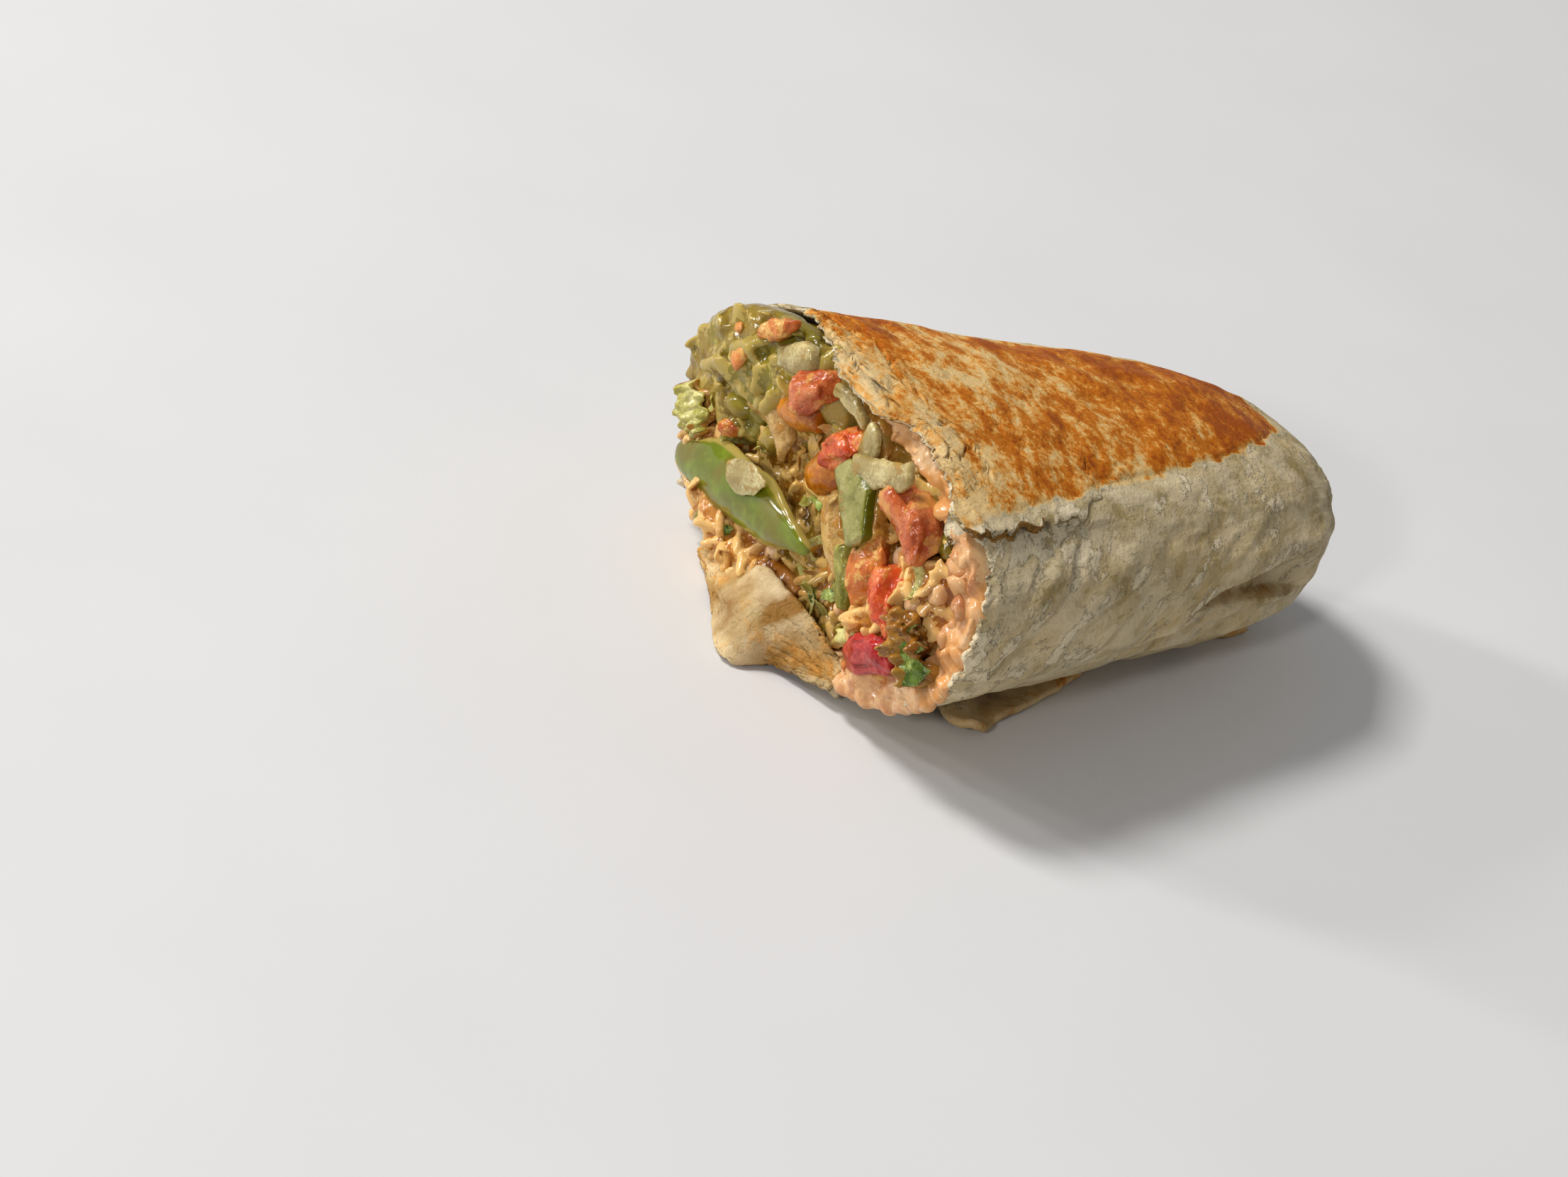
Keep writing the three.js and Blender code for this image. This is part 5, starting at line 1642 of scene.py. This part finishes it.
BEDS = (
    Bed(
        "refried_beans", 89, 262, 0.85, 1.0, 3, 1, 1.4, 1.1, BEANS,
        (Strewn("sunk_beans", CRUMBS, BEANS, 2.2, 200000, 0.4, 0.95, 40, -0.3, 31),),
    ),
    Bed(
        "guacamole", -8, 86, 0.5, 1.0, 5.5, 2, 1.7, 4.4, PASTE,
        (
            Strewn("sunk_leaves", LEAVES, PASTE, 3.0, 90000, 0.6, 1.0, 12, 0.0, 32),
            Strewn("sunk_lumps", CRUMBS, PASTE, 3.8, 60000, 0.4, 0.8, 40, -0.2, 33),
        ),
    ),
    Bed(
        "rice_back", 265, 349, 0.6, 1.0, 5, 2, 1.2, 3.3, MASH,
        (
            Strewn("sunk_grains_back", GRAINS, MASH, 3.0, 110000, 0.85, 1.1, 30, 0.2, 34),
            Strewn("sunk_mash_back", PETALS, MASH, 2.4, 160000, 0.4, 0.8, 40, -0.1, 37),
        ),
        0.32,
    ),
    Bed(
        "rice_front", 150, 236, 0.46, 0.825, 4, 2, 1.4, 2.2, MASH,
        (
            Strewn("sunk_grains_front", GRAINS, MASH, 3.2, 90000, 0.85, 1.1, 30, 0.0, 35),
            Strewn("sunk_mash_front", PETALS, MASH, 2.6, 130000, 0.4, 0.85, 40, 0.0, 36),
        ),
        0.34,
    ),
)


SUNK = (
    Strewn("sunk_shreds", LEAVES, MIXED, 4.4, 45000, 0.6, 1.0, 16, 0.0, 41),
    Strewn("sunk_crumbs", CRUMBS, MIXED, 3.4, 80000, 0.4, 0.9, 40, -0.2, 42),
    Strewn("sunk_grains", GRAINS, MIXED, 3.0, 110000, 0.85, 1.1, 30, 0.1, 43),
)


@dataclass
class SaladBed:
    """What the other layers leave in the middle."""

    form: RollForm
    finish: WetFlesh = MIXED
    gap: float = 0.025

    def reach(self, degrees: Array) -> Array:
        """How far out the salad goes at an angle, as a share of the depth."""
        a = np.mod(degrees, 360)
        by_name = {bed.node: bed.inner - self.gap for bed in BEDS}
        reach = np.where((a > 350) | (a < 88), by_name["guacamole"], by_name["refried_beans"])
        reach = np.where((a > 148) & (a < 238), by_name["rice_front"], reach)
        return np.where((a > 263) & (a < 351), by_name["rice_back"], reach)

    def face(self, degrees: Array, share: Array) -> Array:
        """Places on the rough face at the cut."""
        depth = np.minimum(np.minimum(self.reach(degrees - 4), self.reach(degrees)), self.reach(degrees + 4))
        points = self.form.inner(0 * (degrees + share), degrees, self.form.fit_gap, depth * share)
        y, z = points[..., 1], points[..., 2]
        coarse = 1.5 * (noise(y / 5, z / 5, 6.6) + 0.5 * noise(y / 2.4, z / 2.4, 11.6))
        points[..., 0] += 2.0 + 1.3 * coarse + 0.6 * rough_noise(y / 1.9, z / 1.9, 3.0, 4)
        return points

    def core(self) -> Shape:
        """The layer behind its face, as far as the tucked end."""
        degrees = np.linspace(0, 360, 120, endpoint=False)[None, :]
        rows = []
        for t in (0.035, 0.035, 0.1, 0.3, 0.5, 0.7, 0.85, 0.86):
            closed = 0.01 if t == 0.86 or not rows else 1.0
            depth = self.reach(degrees) * closed
            rows.append(self.form.inner(t + 0 * degrees, degrees, self.form.fit_gap, depth))
        points = np.concatenate(rows, 0)
        return grid_shape(points, grid_faces(*points.shape[:2], True), tone=0.5, chip=0.0)

    def build(self) -> bpy.types.Object:
        """The layer as a piece: its front is one wet mass that the larger pieces are bedded in."""
        degrees = np.linspace(0, 360, 200, endpoint=False)[None, :]
        face = self.face(degrees, np.linspace(0.01, 1, 46)[:, None])
        behind = face[::-1].copy()
        behind[..., 0] = self.form.cut_x + SALAD_FRONT
        points = np.concatenate([face, behind], 0)
        tone = 0.5 + 0.3 * noise(points[..., 1] / 6, points[..., 2] / 6, 6.0)
        front = grid_shape(points, grid_faces(*points.shape[:2], True), tone=tone)
        lying_on_top = ("green_pepper_strip", "onion_flake", "onion_bar", "onion_white")
        beds = [m.placed(self.form, 0.5, 1.4 + 0.3 * m.deep) for m in MORSELS if m.node not in lying_on_top]
        below = self.face(degrees.T, np.linspace(0.04, 1, 30)[None, :])
        ground = face_ground(below, {f"strew_{t.name}": 1.0 for t in SUNK})
        skin = fused([front, *beds], [strewn.shape(ground) for strewn in SUNK], 0.38)
        made = Shape.joined([self.core(), skin]).object("bed_salad", merge=True)
        turn_outwards(made)
        made.data.materials.append(self.finish.material())
        return made


@dataclass
class Scraps:
    """The small things of the filling, strewn over the layers' faces and round the larger pieces."""

    form: RollForm

    def clear_of_morsels(self, y: Array, z: Array, room: float) -> Array:
        """1 where a place over the cut is clear of the larger pieces, and 0 over them."""
        clear = np.ones_like(y)
        for m in MORSELS:
            a = math.radians(m.turn)
            dy, dz = y - m.across, z - m.up
            long, wide = dy * math.cos(a) + dz * math.sin(a), -dy * math.sin(a) + dz * math.cos(a)
            wide = wide - m.bow * 0.6
            away = np.abs(long / (m.long / 2 + room)) ** 3 + np.abs(wide / (m.wide / 2 + room)) ** 3
            clear = clear * smooth(away, 0.6, 1.1)
        return clear

    def ground(self) -> bpy.types.Object:
        """The faces of all layers in one mesh, marked with where each kind of thing may lie."""
        shapes = []
        for bed in BEDS:
            u = np.linspace(0.02, 0.98, 90)[:, None]
            v = np.linspace(0.06, 0.97, 30)[None, :]
            shapes.append(self.marked(bed.face(self.form, u, v), len(shapes)))
        degrees = np.linspace(0, 360, 120)[:, None]
        salad = SaladBed(self.form)
        share = np.linspace(0.05, 1.0, 30)[None, :]
        shapes.append(self.marked(salad.face(degrees, share), len(shapes)))
        return Shape.joined(shapes).object("strewing_ground")

    def marked(self, points: Array, kind: int) -> Shape:
        """One layer's face with its marks. kind is beans, guacamole, rice at the back and front, or salad."""
        y, z = points[..., 1], points[..., 2]
        clear = self.clear_of_morsels(y, z, 0.4)
        patch = 0.5 + 0.5 * noise(y / 7, z / 7, 1.0)
        other = 0.5 + 0.5 * noise(y / 6, z / 6, 8.0)
        middle = RollForm.widest_share * RollForm.cut_height
        rim = 1 - smooth(np.hypot(y / 50, (z - middle) / 28), 0.86, 0.97)
        shreds = (0.02, 0.05, 0.06, 0.12, 0.4)
        shares = {
            "rice_grains": (0.06 * other, 0.03 * patch, 0.5, 0.25, 0.3 * other),
            "salad_shreds": shreds,
            "pale_shreds": shreds,
            "lettuce_ribbons": (0.0, 0.1, 0.0, 0.05, 0.25),
            "avocado_lumps": (0.0, 0.3, 0.1, 0.2 * patch, 0.5 * patch),
            "herb_bits": (0.05, 0.3, 0.3, 0.5, 1.0),
            "tomato_bits": (0.3 + 0.7 * patch,) * 5,
        }
        marks = {f"strew_{name}": clear * share[kind] * rim for name, share in shares.items()}
        marks["strew_bean_lumps"] = clear * (0.3, 0.0, 0.3 * patch, 0.5 * other, 0.1)[kind]
        return face_ground(points, marks)

    def kinds(self) -> list[tuple[str, Strewn]]:
        """Each kind of thing, after its slot."""
        return [
            ("beans", Strewn("bean_lumps", CRUMBS, BEANS, 2.2, 200000, 0.5, 1.0, 40, -0.5, 11)),
            ("guacamole", Strewn("avocado_lumps", CRUMBS, PASTE, 2.6, 120000, 0.6, 1.25, 30, -0.5, 12)),
            ("rice", Strewn("rice_grains", GRAINS, RICE, 2.3, 200000, 0.85, 1.1, 26, 0.2, 13)),
            ("lettuce", Strewn("salad_shreds", SHREDS, LETTUCE, 3.4, 70000, 0.6, 1.0, 12, 0.5, 14)),
            ("salad", Strewn("pale_shreds", SHREDS, TAN_ONION, 3.4, 70000, 0.6, 1.0, 12, 0.5, 15)),
            ("lettuce", Strewn("lettuce_ribbons", RIBBONS, LETTUCE, 4.4, 40000, 0.6, 0.9, 12, 0.0, 18)),
            ("herb", Strewn("herb_bits", BITS, HERB, 5.0, 22000, 0.5, 1.1, 30, 0.7, 16)),
            ("tomato", Strewn("tomato_bits", CRUMBS, ORANGE_TOMATO, 5.5, 18000, 0.5, 0.9, 30, 0.2, 17)),
        ]

    def build(self) -> list[tuple[str, bpy.types.Object]]:
        """All the small things, one piece for each kind, after its slot."""
        ground = self.ground()
        made = [(slot, kind.build(ground)) for slot, kind in self.kinds()]
        bpy.data.objects.remove(ground)
        return made


@dataclass(frozen=True)
class Lamp:
    """One large soft light aimed at the food: its place and size in metres, its power in watts."""

    name: str
    place: Place
    size: float
    power: float
    colour: Colour

    def build(self) -> None:
        """Adds the light."""
        data = bpy.data.lights.new(self.name, "AREA")
        data.size = self.size
        data.energy = self.power
        data.color = self.colour
        made = bpy.data.objects.new(self.name, data)
        aim = Vector(self.place).to_track_quat("Z", "Y").to_matrix().to_4x4()
        made.matrix_world = Matrix.Translation(self.place) @ aim
        bpy.context.scene.collection.objects.link(made)


LAMPS = (
    Lamp("key", (-1.0, 1.1, 2.0), 0.55, 42, (1.0, 0.98, 0.95)),
    Lamp("fill", (-1.9, -1.1, 1.1), 0.2, 12, (1.0, 0.98, 0.96)),
    Lamp("window", (-1.5, 1.3, 0.38), 0.16, 9, (1.0, 0.985, 0.965)),
    Lamp("side_window", (-1.4, 1.1, 0.9), 0.22, 8, (1.0, 0.985, 0.965)),
)


@dataclass
class Studio:
    """The pale floor, the soft lights and the camera."""

    camera_place: Place = (-0.5105, -0.5242, 0.4154)
    camera_right: Place = (0.8227, -0.4947, 0.2797)
    camera_up: Place = (0.0659, 0.5725, 0.8167)
    camera_back: Place = (-0.5644, -0.6537, 0.5031)
    lens: float = 100.15
    room_colour: Colour = (0.98, 0.98, 1.0)
    room_light: float = 0.24
    floor_reach: float = 3000.0
    floor_drop: float = 0.05

    def build(self) -> None:
        """Adds everything round the food."""
        self.floor()
        self.camera()
        for lamp in LAMPS:
            lamp.build()
        world = bpy.data.worlds.new("soft_room")
        world.use_nodes = True
        background = world.node_tree.nodes["Background"]
        background.inputs["Color"].default_value = (*self.room_colour, 1)
        background.inputs["Strength"].default_value = self.room_light
        bpy.context.scene.world = world
        bpy.context.scene.view_settings.view_transform = "Standard"

    def camera(self) -> None:
        """The camera at the picture's viewing angle."""
        data = bpy.data.cameras.new("camera")
        data.lens = self.lens
        made = bpy.data.objects.new("camera", data)
        turn = Matrix([self.camera_right, self.camera_up, self.camera_back]).transposed().to_4x4()
        made.matrix_world = Matrix.Translation(self.camera_place) @ turn
        bpy.context.scene.collection.objects.link(made)
        bpy.context.scene.camera = made

    def floor(self) -> None:
        """A plain pale floor."""
        corners = np.array([[-1.0, -1, 0], [1, -1, 0], [1, 1, 0], [-1, 1, 0]]) * self.floor_reach
        corners[:, 2] = -self.floor_drop
        made = Shape(corners, np.array([[0, 1, 2, 3]])).object("floor")
        book = Recipe("pale_floor")
        grain = book.noise(14, 2)
        colour = book.mix(grain, (222, 222, 223), (228, 228, 228))
        made.data.materials.append(book.finish(colour, grain * 0.1 + 0.5, grain, 0.02, {}))


def attach(piece: bpy.types.Object, slot: str, *nodes: str) -> None:
    """Puts a piece on the one body and hides the CAD nodes it stands for; the slot is not used."""
    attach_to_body(piece, "root")
    if nodes:
        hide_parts(*nodes)
    LOG.info("%s: %d faces", piece.name, len(piece.data.polygons))


def main() -> None:
    """Builds the pieces in order."""
    logging.basicConfig(level=logging.INFO, format="%(message)s")
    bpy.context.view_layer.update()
    slots = {part["node"]: part["material_slot"] for part in frame["record"]["subparts"]}
    form = RollForm()
    wrap = Tortilla(form, GriddledDough()).build()
    attach(wrap, "tortilla", "tortilla")
    for piece in LooseDough(form).build(wrap.data.materials[0]):
        attach(piece, "tortilla")
    for bed in BEDS:
        attach(bed.build(form), slots[bed.node], bed.node)
    salad = SaladBed(form).build()
    attach(salad, "salad", "salad")
    for morsel in MORSELS:
        attach(morsel.build(form), slots[morsel.node], morsel.node)
    for slot, piece in Scraps(form).build():
        attach(piece, slot)
    Studio().build()


if __name__ == "__main__":
    main()
